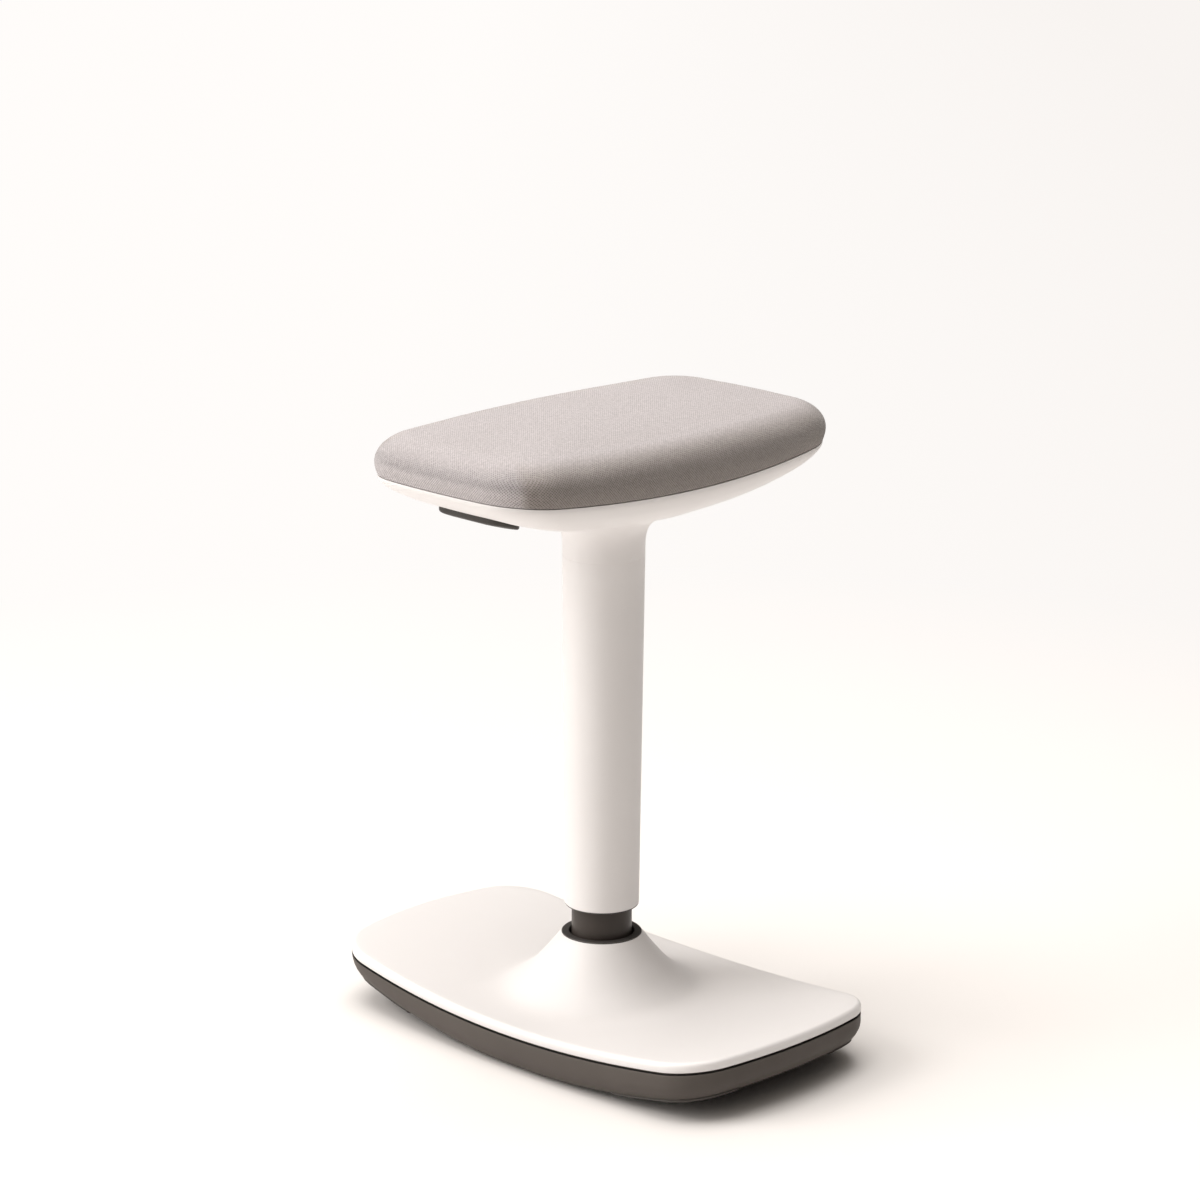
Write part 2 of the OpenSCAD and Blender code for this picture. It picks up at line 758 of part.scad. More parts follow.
module column_sleeve()
    color([0.93, 0.91, 0.89]) rotate_extrude()
        polygon([[sleeve_bore, sleeve_z], [sleeve_r - bevel, sleeve_z], [sleeve_r, sleeve_z + bevel],
            [sleeve_top_r, sleeve_top], [spigot_r, sleeve_top], [spigot_r, sleeve_top + spigot_l],
            [sleeve_bore, sleeve_top + spigot_l]]);

module sleeve_bush() {
    rim_r = sleeve_r - rest_gap;
    low = sleeve_z - sleeve_rim;
    top = sleeve_z + sleeve_bush_l;
    color([0.2, 0.19, 0.18]) rotate_extrude()
        polygon([[tube_r + run_gap, low], [rim_r - bevel, low], [rim_r, low + bevel],
            [rim_r, sleeve_z], [sleeve_bore - fit_gap, sleeve_z], [sleeve_bore - fit_gap, top],
            [tube_r + wide_bevel, top], [tube_r + run_gap, top - wide_bevel]]);
}

// Seat

bowl_steps = [0.14, 0.3, 0.44, 0.56, 0.66, 0.75, 0.83, 0.89];
rim_n = 4;
bowl_blend = 4;

// One ring of the bowl at the share s of the way from the middle to the rim
function bowl_ring(s, d, h) = [for (p = seat_outline(d))
    let (u = pow(abs(2 * p[0] / seat_w), bowl_blend), v = pow(abs(2 * p[1] / seat_d), bowl_blend))
    let (power = (bowl_power_x * u + bowl_power_y * v) / (u + v))
    [p[0] * s, p[1] * s, saddle(p[0] * s) - rim_h - bowl_h * (1 - pow(s, power)) + h]];

// The rim runs into the bowl in a soft curve, from the share rim_from out to rim_soft above the corner
rim_from = 0.94;
rim_soft = 4;

function rim_ring(t, d, h) = bowl_ring(rim_from, d, h) * pow(1 - t, 2)
    + bowl_ring(1, d, h) * 2 * t * (1 - t) + saddle_ring(d, h + rim_soft - rim_h) * t * t;

function bowl_rings(d, h) = concat([for (s = bowl_steps) bowl_ring(s, d, h)],
    [for (t = [0 : rim_n]) rim_ring(t / rim_n, d, h)]);

flare_n = 12;
// How far the flare holds to the collar and to the bowl
collar_pull = 22;
bowl_pull = [32, 10.7];

function flare_curve(in, up) = [for (t = [0 : flare_n]) bezier([
    [sleeve_top_r - in, flare_top - flare_h + up],
    [sleeve_top_r - in, flare_top - flare_h + collar_pull + up],
    [sleeve_top_r + flare_w - in - bowl_pull[0], flare_top - bowl_pull[1] + up],
    [sleeve_top_r + flare_w - in, flare_top + up]], t / flare_n)];

shell_screw_depth = 22.5;
shell_screw_seat = seat_z - shell_screw_depth;
shell_boss_r = 6;
shell_head_h = 2;
shell_screw_top = saddle(shell_screw_x) - 2.5;
board_low = rest_gap + board_t;

module at_shell_screws()
    for (x = [-1, 1], y = [-1, 1])
        translate([x * shell_screw_x, y * shell_screw_y, 0])
            children();

module bowl_outside()
    loft(concat(bowl_rings(0, 0), [saddle_ring(0, -rest_gap)]), false);

module bowl_hollow()
    loft(concat(bowl_rings(shell_wall, shell_wall), [saddle_ring(shell_wall, shell_wall)]), false);

module paddle_opening(grow)
    translate([-paddle_x, 0, bowl_z])
        linear_extrude(seat_z - bowl_z)
            round_rect(paddle_w + 2 * grow, paddle_l + 2 * grow, paddle_r + grow);

module seat_shell()
    color([0.93, 0.91, 0.89]) difference() {
        union() {
            difference() {
                bowl_outside();
                bowl_hollow();
            }
            rotate_extrude()
                polygon(concat([[0, sleeve_top], [sleeve_top_r, sleeve_top]], flare_curve(0, 0),
                    [[sleeve_top_r + flare_w, flare_top + bevel], [0, flare_top + bevel]]));
            intersection() {
                bowl_outside();
                at_shell_screws()
                    cylinder(r = shell_boss_r, h = saddle(shell_screw_x) - board_low - 2 * rest_gap);
            }
        }
        translate([0, 0, sleeve_top - over])
            cylinder(r = spigot_r + run_gap, h = spigot_l + wide_bevel + over);
        rotate_extrude()
            polygon(concat([[0, flare_top - flare_h]], flare_curve(shell_wall, shell_wall),
                [[sleeve_top_r + flare_w - shell_wall, seat_z], [0, seat_z]]));
        paddle_opening(paddle_gap);
        at_shell_screws() {
            cylinder(r = shell_screw_r + screw_play, h = seat_z + over);
            cylinder(r = 2 * shell_screw_r + head_play, h = shell_screw_seat);
        }
    }

module shell_screws()
    color([0.6, 0.6, 0.6])
        at_shell_screws() {
            translate([0, 0, shell_screw_seat])
                cylinder(r = shell_screw_r, h = shell_screw_top - shell_screw_seat);
            translate([0, 0, shell_screw_seat - shell_head_h])
                cylinder(r = 2 * shell_screw_r, h = shell_head_h);
        }

module seat_board()
    color([0.8, 0.68, 0.5]) difference() {
        loft([saddle_ring(board_inset + board_t, -board_low), saddle_ring(board_inset, -rest_gap)], false);
        at_shell_screws()
            cylinder(r = shell_screw_r + fit_gap, h = shell_screw_top + bevel);
        at_bracket_bolts()
            cylinder(r = bolt_r + fit_gap, h = seat_z + over);
    }

bolt_r = 3;
bolt_head_h = 4;
pad_r = 8;
pad_z = saddle(bolt_x - pad_r) - board_low - run_gap;
plate_z = bracket_top - bracket_t;
plate_corner_r = 12;
channel_in = 8;
window_in = 18;

module at_bracket_bolts()
    for (x = [-1, 1], y = [-1, 1])
        translate([x * bolt_x, y * bolt_y, 0])
            children();

// Folded bracket: a top plate on the board, a channel for the lever and a tapered hub
module seat_bracket()
    color([0.25, 0.25, 0.27]) difference() {
        union() {
            translate([0, 0, plate_z])
                linear_extrude(bracket_t)
                    round_rect(bracket_w, bracket_d, plate_corner_r);
            at_bracket_bolts()
                translate([0, 0, plate_z])
                    cylinder(r = pad_r, h = pad_z - plate_z);
            for (y = [-1, 1])
                translate([channel_in - bracket_w / 2, y * (web_w - bracket_t) / 2 - bracket_t / 2, web_z])
                    cube([bracket_w - 2 * channel_in, bracket_t, plate_z - web_z + eps]);
            translate([channel_in - bracket_w / 2, -web_w / 2, web_z])
                cube([bracket_w - 2 * channel_in, web_w, bracket_t]);
            translate([0, 0, hub_z])
                cylinder(r = hub_r, h = web_z - hub_z + eps);
        }
        translate([0, 0, taper_z])
            cylinder(r1 = cyl_r + fit_gap, r2 = cyl_r - taper_drop + fit_gap, h = taper_l);
        translate([window_in - bracket_w / 2, bracket_t - web_w / 2, plate_z - eps])
            cube([bracket_w - 2 * window_in, web_w - 2 * bracket_t, bracket_t + over]);
        at_bracket_bolts()
            translate([0, 0, plate_z - over])
                cylinder(r = bolt_r + screw_play, h = bracket_t + 2 * over);
        translate([-axle_x, 0, axle_z])
            rotate([90, 0, 0])
                cylinder(r = axle_r + axle_play, h = web_w + over, center = true);
    }

module bracket_bolts()
    color([0.6, 0.6, 0.6])
        at_bracket_bolts() {
            translate([0, 0, plate_z - bolt_head_h])
                cylinder(r = 2 * bolt_r, h = bolt_head_h, $fn = 6);
            translate([0, 0, plate_z])
                cylinder(r = bolt_r, h = bracket_t + board_t - bevel);
        }

cushion_steps = [0.8, 0.6, 0.4, 0.2];
cushion_tuck = 0.5;
side_steps = [0.2, 0.5];

// A ring of the cushion: most of the saddle's rise fades out towards the top
function cushion_ring(d, up, s, crown) = [for (p = seat_outline(d))
    let (rise = sag(p[0] * s, saddle_r) * (1 - (1 - cushion_dish) * up / cushion_h))
    [p[0] * s, p[1] * s, seat_z + up + rise + crown]];

module seat_cushion()
    color([0.76, 0.73, 0.71])
        loft(concat([cushion_ring(cushion_tuck, 0, 1, 0)],
            [for (k = side_steps) cushion_ring(cushion_tuck - (cushion_tuck + cushion_bulge) * sin(90 * k),
                (cushion_h - cushion_round) * k * k, 1, 0)],
            [for (t = [0 : round_n + 1]) let (a = 90 * t / (round_n + 1))
                cushion_ring(edge_in(cushion_round, a) - cushion_bulge,
                    cushion_h - cushion_round + edge_up(cushion_round, a), 1, 0)],
            [for (s = cushion_steps) cushion_ring(cushion_round - cushion_bulge, cushion_h, s,
                cushion_crown * (1 - s * s))]), false);

// Release lever

// The axle has a thin head at each end, outside the bracket's channel
axle_head_h = 2;
axle_head_r = axle_r + 1;

module lever_axle()
    color([0.7, 0.7, 0.7])
        translate([-axle_x, 0, axle_z])
            rotate([90, 0, 0]) {
                cylinder(r = axle_r, h = web_w + axle_head_h, center = true);
                for (s = [-1, 1])
                    translate([0, 0, s * (web_w / 2 + axle_head_h / 2 + rest_gap)])
                        cylinder(r = axle_head_r, h = axle_head_h, center = true);
            }

arm_tip = 6;
arm_end = paddle_x - wide_bevel;
arm_hub_r = axle_r + 3;
block_l = 14;
block_z = bowl_at(paddle_x - paddle_w / 2) - paddle_proud + wide_bevel;
lever_screw_r = 1.5;
lever_screw_l = 2.5;
lever_head_h = 1.5;

module at_lever_screws()
    for (i = [0, 1])
        translate([-arm_end + block_l * (0.25 + 0.5 * i), 0, arm_z])
            children();

module lever_arm()
    color([0.3, 0.3, 0.32]) difference() {
        union() {
            translate([-arm_end, -arm_w / 2, arm_z])
                cube([arm_end + arm_tip, arm_w, arm_t]);
            translate([-axle_x, 0, axle_z])
                rotate([90, 0, 0])
                    cylinder(r = arm_hub_r, h = arm_w, center = true);
        }
        translate([-axle_x, 0, axle_z])
            rotate([90, 0, 0])
                cylinder(r = axle_r + run_gap, h = arm_w + over, center = true);
        at_lever_screws()
            translate([0, 0, -eps])
                cylinder(r = lever_screw_r + fit_gap, h = arm_t + over);
    }

// The paddle follows the bowl's own profile across X, and its face swells out along Y
paddle_n = 8;
paddle_row = paddle_n + 1;
paddle_all = paddle_row * paddle_row;
function bowl_at(x) = saddle(x) - rim_h - bowl_h * (1 - pow(2 * abs(x) / seat_w, bowl_power_x));
function paddle_grid(h, swell) = [for (j = [0 : paddle_n], i = [0 : paddle_n])
    let (u = 2 * i / paddle_n - 1, v = 2 * j / paddle_n - 1)
    let (x = u * (paddle_w / 2 + over) - paddle_x)
    [x, v * (paddle_l / 2 + eps), bowl_at(x) + h - swell * (1 - v * v)]];
function paddle_skin(start) = [for (j = [0 : paddle_n - 1], i = [0 : paddle_n - 1])
    let (a = start + j * paddle_row + i) [a, a + 1, a + paddle_row + 1, a + paddle_row]];
function paddle_edge(first, step) = [for (i = [0 : paddle_n - 1]) let (a = first + i * step)
    [a, a + paddle_all, a + paddle_all + step, a + step]];

module paddle_blank()
    polyhedron(points = concat(paddle_grid(-paddle_proud, paddle_swell),
            paddle_grid(paddle_t - paddle_proud, 0)),
        faces = concat(paddle_skin(0), flipped(paddle_skin(paddle_all)), paddle_edge(0, 1),
            flipped(paddle_edge(paddle_n * paddle_row, 1)), flipped(paddle_edge(0, paddle_row)),
            paddle_edge(paddle_n, paddle_row)));

module lever_paddle()
    color([0.3, 0.28, 0.27]) difference() {
        union() {
            intersection() {
                translate([-paddle_x, 0, bowl_z - over])
                    linear_extrude(seat_z - bowl_z)
                        round_rect(paddle_w, paddle_l, paddle_r);
                paddle_blank();
            }
            translate([-arm_end, -arm_w / 2, block_z])
                cube([block_l, arm_w, arm_z - block_z]);
        }
        at_lever_screws()
            translate([0, 0, -lever_screw_l - bevel])
                cylinder(r = lever_screw_r + fit_gap, h = lever_screw_l + over);
    }

module lever_screws()
    color([0.6, 0.6, 0.6])
        at_lever_screws() {
            translate([0, 0, -lever_screw_l])
                cylinder(r = lever_screw_r, h = arm_t + lever_screw_l);
            translate([0, 0, arm_t])
                cylinder(r = 2 * lever_screw_r, h = lever_head_h);
        }

// Room under the pin for its stroke
pin_room = 4;

module release_pin()
    color([0.75, 0.75, 0.77]) {
        translate([0, 0, valve_z + pin_room])
            cylinder(r = pin_r, h = pin_top - valve_z - pin_room - wide_bevel);
        translate([0, 0, pin_top - wide_bevel])
            cylinder(r1 = pin_r, r2 = pin_r - wide_bevel, h = wide_bevel);
    }

base_cover();
base_pan();
corner_pads();
ballast_plate();
base_screws();
column_flange();
flange_bolts();
stand_tube();
guide_bush();
column_ring();
lower_race();
ball_cage();
bearing_balls();
upper_race();
buffer_ring();
piston_rod();
piston_head();
piston_seal();
clip_washer();
retaining_clip();
gas_cylinder();
rod_guide();
valve_body();
column_sleeve();
sleeve_bush();
seat_shell();
seat_bracket();
bracket_bolts();
seat_board();
shell_screws();
seat_cushion();
lever_axle();
lever_arm();
lever_paddle();
lever_screws();
release_pin();
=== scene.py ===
import json
import math
from bisect import bisect_right

import bmesh
import bpy
from mathutils import Matrix, Vector
from mathutils.kdtree import KDTree

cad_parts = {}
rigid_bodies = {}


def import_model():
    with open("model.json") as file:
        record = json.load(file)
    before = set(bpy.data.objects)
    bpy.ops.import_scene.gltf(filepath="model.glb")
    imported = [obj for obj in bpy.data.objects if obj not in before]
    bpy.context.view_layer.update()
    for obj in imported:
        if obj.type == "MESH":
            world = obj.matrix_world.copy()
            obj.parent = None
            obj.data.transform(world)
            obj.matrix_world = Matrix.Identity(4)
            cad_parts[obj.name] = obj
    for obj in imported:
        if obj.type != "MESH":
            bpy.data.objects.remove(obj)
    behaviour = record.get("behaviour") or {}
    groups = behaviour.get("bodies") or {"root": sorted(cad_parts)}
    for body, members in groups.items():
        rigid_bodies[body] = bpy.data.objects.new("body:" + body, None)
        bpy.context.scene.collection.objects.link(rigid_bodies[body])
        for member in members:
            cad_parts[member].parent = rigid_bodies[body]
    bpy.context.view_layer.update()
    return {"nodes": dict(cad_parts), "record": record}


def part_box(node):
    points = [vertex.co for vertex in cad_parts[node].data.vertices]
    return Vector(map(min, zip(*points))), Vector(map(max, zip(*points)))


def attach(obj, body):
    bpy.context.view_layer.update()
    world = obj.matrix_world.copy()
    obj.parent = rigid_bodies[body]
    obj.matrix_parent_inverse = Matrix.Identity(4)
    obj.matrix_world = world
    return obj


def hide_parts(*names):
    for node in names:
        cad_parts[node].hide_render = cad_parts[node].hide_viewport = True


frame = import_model()
nodes = frame["nodes"]
scene = bpy.context.scene

# Sizes of the dressed pieces in metres. They are those of the solids, save the ones called
# fitted, which were set against the photo. BOW is how far a side of an outline bulges, RC the
# radius of its corners, and PULL where a curve's inner control point lies from its end.

BASE_X, BASE_Y, BASE_BOW_X, BASE_BOW_Y, BASE_RC = 0.1217, 0.2204, 0.0093, 0.0068, 0.047
DECK_R, JOINT_Z, COVER_EDGE, COVER_ROUND, COVER_WALL = 1.384, 0.0308, 0.0084, 0.004, 0.0035
NECK_R, NECK_Z, TRUMPET_R = 0.0338, 0.0871, 0.098
NECK_PULL, DECK_PULL, DECK_SINK = (0.018, -0.023), (-0.032, 0.0036), 0.0014

TREAD_R, TREAD_LAND, ROCKER_Y = 0.880, 0.060, -0.016
PAN_ROUND, PAN_WALL = 0.018, 0.004
PAN_REVEAL = 0.0019  # fitted
PAN_SCREW_X, PAN_SCREW_PITCH, PAN_SCREW_R, PAN_SCREW_DEEP = 0.070, 0.095, 0.0055, 0.0055

SEAT_X, SEAT_Y, SEAT_BOW_X, SEAT_BOW_Y, SEAT_RC = 0.1892, 0.1089, 0.0024, 0.012, 0.0505
SEAT_Z, SADDLE_R, RIM_H, BOWL_H, SHELL_WALL = 0.4842, 1.857, 0.0052, 0.0272, 0.003
BOWL_PX, BOWL_PY = 3.66, 5.58
RIM_FROM, RIM_SOFT = 0.94, 0.004
SHELL_SCREW_X, SHELL_SCREW_Y, SHELL_SCREW_R = 0.104, 0.058, 0.005

SLEEVE_TOP_R, COLLAR_L, FLARE_W, FLARE_H = 0.03375, 0.007, 0.0382, 0.0367
COLLAR_PULL, BOWL_PULL = 0.022, (0.032, 0.0107)
FLARE_TOP = SEAT_Z - RIM_H - BOWL_H + 0.0019
FLARE_FOOT = FLARE_TOP - FLARE_H
SLEEVE_TOP = FLARE_FOOT - COLLAR_L

CUSHION_H, CUSHION_ROUND, CUSHION_BULGE = 0.0394, 0.0267, 0.0025
CROWN, CUSHION_DISH, CUSHION_END = 0.0055, 0.15, 0.009  # fitted; DISH is a share of the saddle

PADDLE_X, PADDLE_L, PADDLE_W, PADDLE_R, PADDLE_GAP = 0.140, 0.075, 0.030, 0.013, 0.0012
PADDLE_T, PADDLE_PROUD, PADDLE_SWELL = 0.0042, 0.0028, 0.0022  # fitted

BEVEL = 0.0002


def sag(d, r):
    """Rise of an arc of radius r at distance d from its middle."""
    return r - math.sqrt(r * r - d * d)


def tread(y):
    """Height of the rocker's underside, which is level on its land."""
    return max(0.0, sag(y - ROCKER_Y, TREAD_R) - sag(TREAD_LAND / 2, TREAD_R))


def joint(y):
    """Height of the line where cover and pan meet."""
    return JOINT_Z + sag(y, DECK_R)


def saddle(x):
    """Height of the line where shell and cushion meet."""
    return SEAT_Z + sag(x, SADDLE_R)


def smooth(t):
    """A soft step from 0 to 1."""
    t = min(1.0, max(0.0, t))
    return t * t * t * (t * (6 * t - 15) + 10)


def bezier(p, t):
    """The point at share t of a cubic curve with four control points."""
    u = 1 - t
    return [p[0][k] * u ** 3 + 3 * p[1][k] * t * u * u
            + 3 * p[2][k] * t * t * u + p[3][k] * t ** 3 for k in (0, 1)]


# Outlines


def outline(hx, hy, bx, by, rc, inset, steps=12):
    """Points of a rounded rectangle with bowed sides, anticlockwise from the middle of +X."""
    hx, hy, rc = hx - inset, hy - inset, rc - inset
    a, b = hx - bx - rc, hy - by - rc
    rx, ry = (b * b + bx * bx) / (2 * bx), (a * a + by * by) / (2 * by)
    tx, ty = math.asin(b / rx), math.asin(a / ry)

    def arc(cx, cy, r, a0, a1):
        turns = [a0 + (a1 - a0) * i / steps for i in range(steps)]
        return [(cx + r * math.cos(t), cy + r * math.sin(t)) for t in turns]

    q = (arc(a + bx - rx, 0, rx + rc, 0, tx)
         + arc(a, b, rc, tx, math.pi / 2 - ty)
         + arc(0, b + by - ry, ry + rc, math.pi / 2 - ty, math.pi / 2))
    k = len(q)
    return (q + [(0.0, hy)] + [(-q[i][0], q[i][1]) for i in range(k - 1, 0, -1)]
            + [(-hx, 0.0)] + [(-q[i][0], -q[i][1]) for i in range(1, k)]
            + [(0.0, -hy)] + [(q[i][0], -q[i][1]) for i in range(k - 1, 0, -1)])


def base_line(inset):
    return outline(BASE_X, BASE_Y, BASE_BOW_X, BASE_BOW_Y, BASE_RC, inset)


def pan_line(inset, start=0.024):
    """The base's outline drawn in further than its corners allow, by scaling it from start."""
    k = (inset - start) / (BASE_X - start)
    return [(x * (1 - k), y * (1 - k * 0.75)) for x, y in base_line(start)]


def seat_line(inset):
    return outline(SEAT_X, SEAT_Y, SEAT_BOW_X, SEAT_BOW_Y, SEAT_RC, inset)


def rounded(cx, cy, hx, hy, r, n=8):
    """Points of a plain rounded rectangle round cx, cy."""
    pts = []
    for sx, sy, a0 in ((1, 1, 0), (-1, 1, 90), (-1, -1, 180), (1, -1, 270)):
        for i in range(n + 1):
            a = math.radians(a0 + 90 * i / n)
            pts.append((cx + sx * (hx - r) + r * math.cos(a), cy + sy * (hy - r) + r * math.sin(a)))
    return pts


def circle(cx, cy, r, n=40):
    turns = [2 * math.pi * i / n for i in range(n)]
    return [(cx + r * math.cos(t), cy + r * math.sin(t)) for t in turns]


def lifted(points, height):
    """Points of a plan as a ring in space; height is a number or a function of x and y."""
    if callable(height):
        return [(x, y, height(x, y)) for x, y in points]
    return [(x, y, height) for x, y in points]


# Meshes


def tube(name, rings, capped=False):
    """A skin through rings of points; if capped, a fan closes each end."""
    n = len(rings[0])
    last = (len(rings) - 1) * n
    verts = [p for ring in rings for p in ring]
    faces = [(lo + i, lo + (i + 1) % n, lo + n + (i + 1) % n, lo + n + i)
             for lo in range(0, last, n) for i in range(n)]
    if capped:
        for ring in (rings[0], rings[-1]):
            verts.append(tuple(sum(p[k] for p in ring) / n for k in range(3)))
        faces += [((i + 1) % n, i, len(verts) - 2) for i in range(n)]
        faces += [(last + i, last + (i + 1) % n, len(verts) - 1) for i in range(n)]
    mesh = bpy.data.meshes.new(name)
    mesh.from_pydata(verts, [], faces)
    mesh.validate()
    mesh.update()
    obj = bpy.data.objects.new(name, mesh)
    scene.collection.objects.link(obj)
    return obj


def apply_modifiers(obj):
    for o in scene.objects:
        o.select_set(False)
    obj.select_set(True)
    bpy.context.view_layer.objects.active = obj
    for m in list(obj.modifiers):
        bpy.ops.object.modifier_apply(modifier=m.name)


def face_outwards(obj, merge=False):
    """Turn all faces outwards; merge first joins points that lie on one another."""
    bm = bmesh.new()
    bm.from_mesh(obj.data)
    if merge:
        bmesh.ops.remove_doubles(bm, verts=bm.verts, dist=1e-6)
    bmesh.ops.recalc_face_normals(bm, faces=bm.faces)
    bm.to_mesh(obj.data)
    bm.free()


def smooth_shade(obj, angle):
    """Smooth shading, with a sharp edge where faces meet at more than the angle."""
    obj.data.shade_smooth()
    obj.data.set_sharp_from_angle(angle=math.radians(angle))


def cut(obj, points, z0, z1):
    """Take a prism with the given plan out of a piece."""
    tool = tube("tool", [lifted(points, z0), lifted(points, z1)], True)
    m = obj.modifiers.new("cut", "BOOLEAN")
    m.operation = "DIFFERENCE"
    m.solver = "EXACT"
    m.object = tool
    apply_modifiers(obj)
    bpy.data.objects.remove(tool)


# Node materials


class Nodes:
    """A node tree and short ways to add and join its nodes."""

    def __init__(self, tree):
        self.tree = tree

    def node(self, kind, **values):
        n = self.tree.nodes.new(kind)
        for k, v in values.items():
            setattr(n, k, v)
        return n

    def put(self, target, value):
        """Link a socket to a target, or set the target to a value."""
        if isinstance(value, bpy.types.NodeSocket):
            self.tree.links.new(value, target)
        else:
            target.default_value = value

    def fill(self, n, *values):
        for socket, value in zip(n.inputs, values):
            self.put(socket, value)
        return n.outputs

    def maths(self, op, a, b=0.0):
        return self.fill(self.node("ShaderNodeMath", operation=op), a, b)[0]

    def vector(self, op, *values):
        out = self.fill(self.node("ShaderNodeVectorMath", operation=op), *values)
        return out["Value" if op in ("LENGTH", "DOT_PRODUCT") else "Vector"]

    def spread(self, value, lo, hi, a=0.0, b=1.0):
        """Map lo..hi to a..b, held at both ends."""
        return self.fill(self.node("ShaderNodeMapRange"), value, lo, hi, a, b)[0]

    def split(self, vector):
        return self.fill(self.node("ShaderNodeSeparateXYZ"), vector)

    def mix(self, fac, a, b):
        """Colour a at 0 and b at 1; each is a socket or three numbers."""
        n = self.node("ShaderNodeMix", data_type="RGBA")
        self.put(n.inputs[0], fac)
        for place, color in ((6, a), (7, b)):
            self.put(n.inputs[place], color + (1,) if isinstance(color, tuple) else color)
        return n.outputs[2]

    def blend(self, fac, a, b):
        """Number a at 0 and b at 1."""
        return self.maths("ADD", self.maths("MULTIPLY", self.maths("SUBTRACT", 1.0, fac), a),
                          self.maths("MULTIPLY", fac, b))


class Mat(Nodes):
    """A material's nodes."""

    def __init__(self, name):
        self.material = bpy.data.materials.new(name)
        self.material.use_nodes = True
        super().__init__(self.material.node_tree)
        self.bsdf = self.tree.nodes["Principled BSDF"]

    def coords(self):
        return self.node("ShaderNodeTexCoord").outputs["Object"]

    def facing(self):
        """The three parts of the surface's direction in the piece's own frame."""
        turned = self.node("ShaderNodeVectorTransform", vector_type="NORMAL",
                           convert_from="WORLD", convert_to="OBJECT")
        normal = self.node("ShaderNodeNewGeometry").outputs["Normal"]
        return self.split(self.fill(turned, normal)[0])

    def noise(self, scale, detail=2.0, vector=None, output="Fac"):
        n = self.node("ShaderNodeTexNoise")
        self.put(n.inputs["Vector"], vector or self.coords())
        self.put(n.inputs["Scale"], scale)
        self.put(n.inputs["Detail"], detail)
        return n.outputs[output]

    def patches(self, scale, detail, a=0.0, b=1.0, half=0.2):
        """Noise with its middle range, 0.5 - half to 0.5 + half, spread over a..b."""
        return self.spread(self.noise(scale, detail), 0.5 - half, 0.5 + half, a, b)

    def bump(self, height, distance, strength, under=None):
        n = self.node("ShaderNodeBump")
        self.put(n.inputs["Height"], height)
        self.put(n.inputs["Distance"], distance)
        self.put(n.inputs["Strength"], strength)
        if under is not None:
            self.put(n.inputs["Normal"], under)
        return n.outputs[0]

    def finish(self, color, rough, normal, **sockets):
        self.put(self.bsdf.inputs["Base Color"], color)
        self.put(self.bsdf.inputs["Roughness"], rough)
        self.put(self.bsdf.inputs["Normal"], normal)
        for k, v in sockets.items():
            self.put(self.bsdf.inputs[k.replace("_", " ")], v)
        return self.material


def scaled(color, k):
    return tuple(c * k for c in color)


def moulded(name, color, edge, rough, grain=2600.0, depth=0.00003, lift=0.06, shine=0.5,
            level=None):
    """Moulded plastic: fine grain, faint mottling, gloss that varies a little, rubbed edges.

    If a colour is given for level faces, such as an underside, they have that one: a painted shade,
    near black, that deepens the shadow under the part and in its shadow line."""
    m = Mat(name)
    tint = m.mix(m.patches(14.0, 3.0, 0.0, lift, half=0.15), color, edge)
    rubbed = m.spread(m.node("ShaderNodeNewGeometry").outputs["Pointiness"], 0.515, 0.60)
    body = m.mix(m.maths("MULTIPLY", rubbed, 0.35), tint, edge)
    if level:
        # Painted shade: level faces, such as the pan's underside and the ledge in its shadow line,
        # are darkened towards near black.
        body = m.mix(m.spread(m.maths("ABSOLUTE", m.facing()[2]), 0.975, 0.985), body, level)
    return m.finish(body, m.patches(55.0, 4.0, rough - 0.05, rough + 0.05),
                    m.bump(m.noise(grain), depth, 0.6), Specular_IOR_Level=shine)


def painted(name, color, rough, shine=0.5):
    """Paint: a faint orange-peel surface and a little mottling."""
    m = Mat(name)
    body = m.mix(m.patches(30.0, 3.0, 0.0, 0.12), color, scaled(color, 1.35))
    return m.finish(body, m.patches(80.0, 3.0, rough - 0.06, rough + 0.06),
                    m.bump(m.noise(1500.0, 3.0), 0.00004, 0.5), Specular_IOR_Level=shine)


def metal(name, color, rough):
    """Turned or drawn metal with fine lines round its axis."""
    m = Mat(name)
    flat = m.fill(m.node("ShaderNodeMapping"), m.coords())[0]
    flat.node.inputs["Scale"].default_value = (0.1, 0.1, 1.0)
    streak = m.noise(900.0, vector=flat)
    body = m.mix(m.patches(40.0, 3.0, 0.0, 0.25), color, scaled(color, 0.8))
    return m.finish(body, m.spread(streak, 0.3, 0.7, rough - 0.07, rough + 0.07),
                    m.bump(streak, 0.00002, 0.4), Metallic=1.0)


def rubber(name, color):
    m = Mat(name)
    body = m.mix(m.patches(60.0, 4.0, 0.0, 0.5), color, scaled(color, 1.25))
    return m.finish(body, m.patches(300.0, 2.0, 0.62, 0.8),
                    m.bump(m.noise(2200.0), 0.00006, 0.7))


def plywood(name):
    m = Mat(name)
    wave = m.node("ShaderNodeTexWave", wave_type="BANDS", bands_direction="Y")
    m.put(wave.inputs["Vector"], m.coords())
    m.put(wave.inputs["Scale"], 22.0)
    m.put(wave.inputs["Distortion"], 3.0)
    m.put(wave.inputs["Detail"], 3.0)
    grain = wave.outputs["Fac"]
    body = m.mix(grain, (0.55, 0.40, 0.24), (0.68, 0.53, 0.34))
    return m.finish(body, 0.6, m.bump(grain, 0.0001, 0.4))


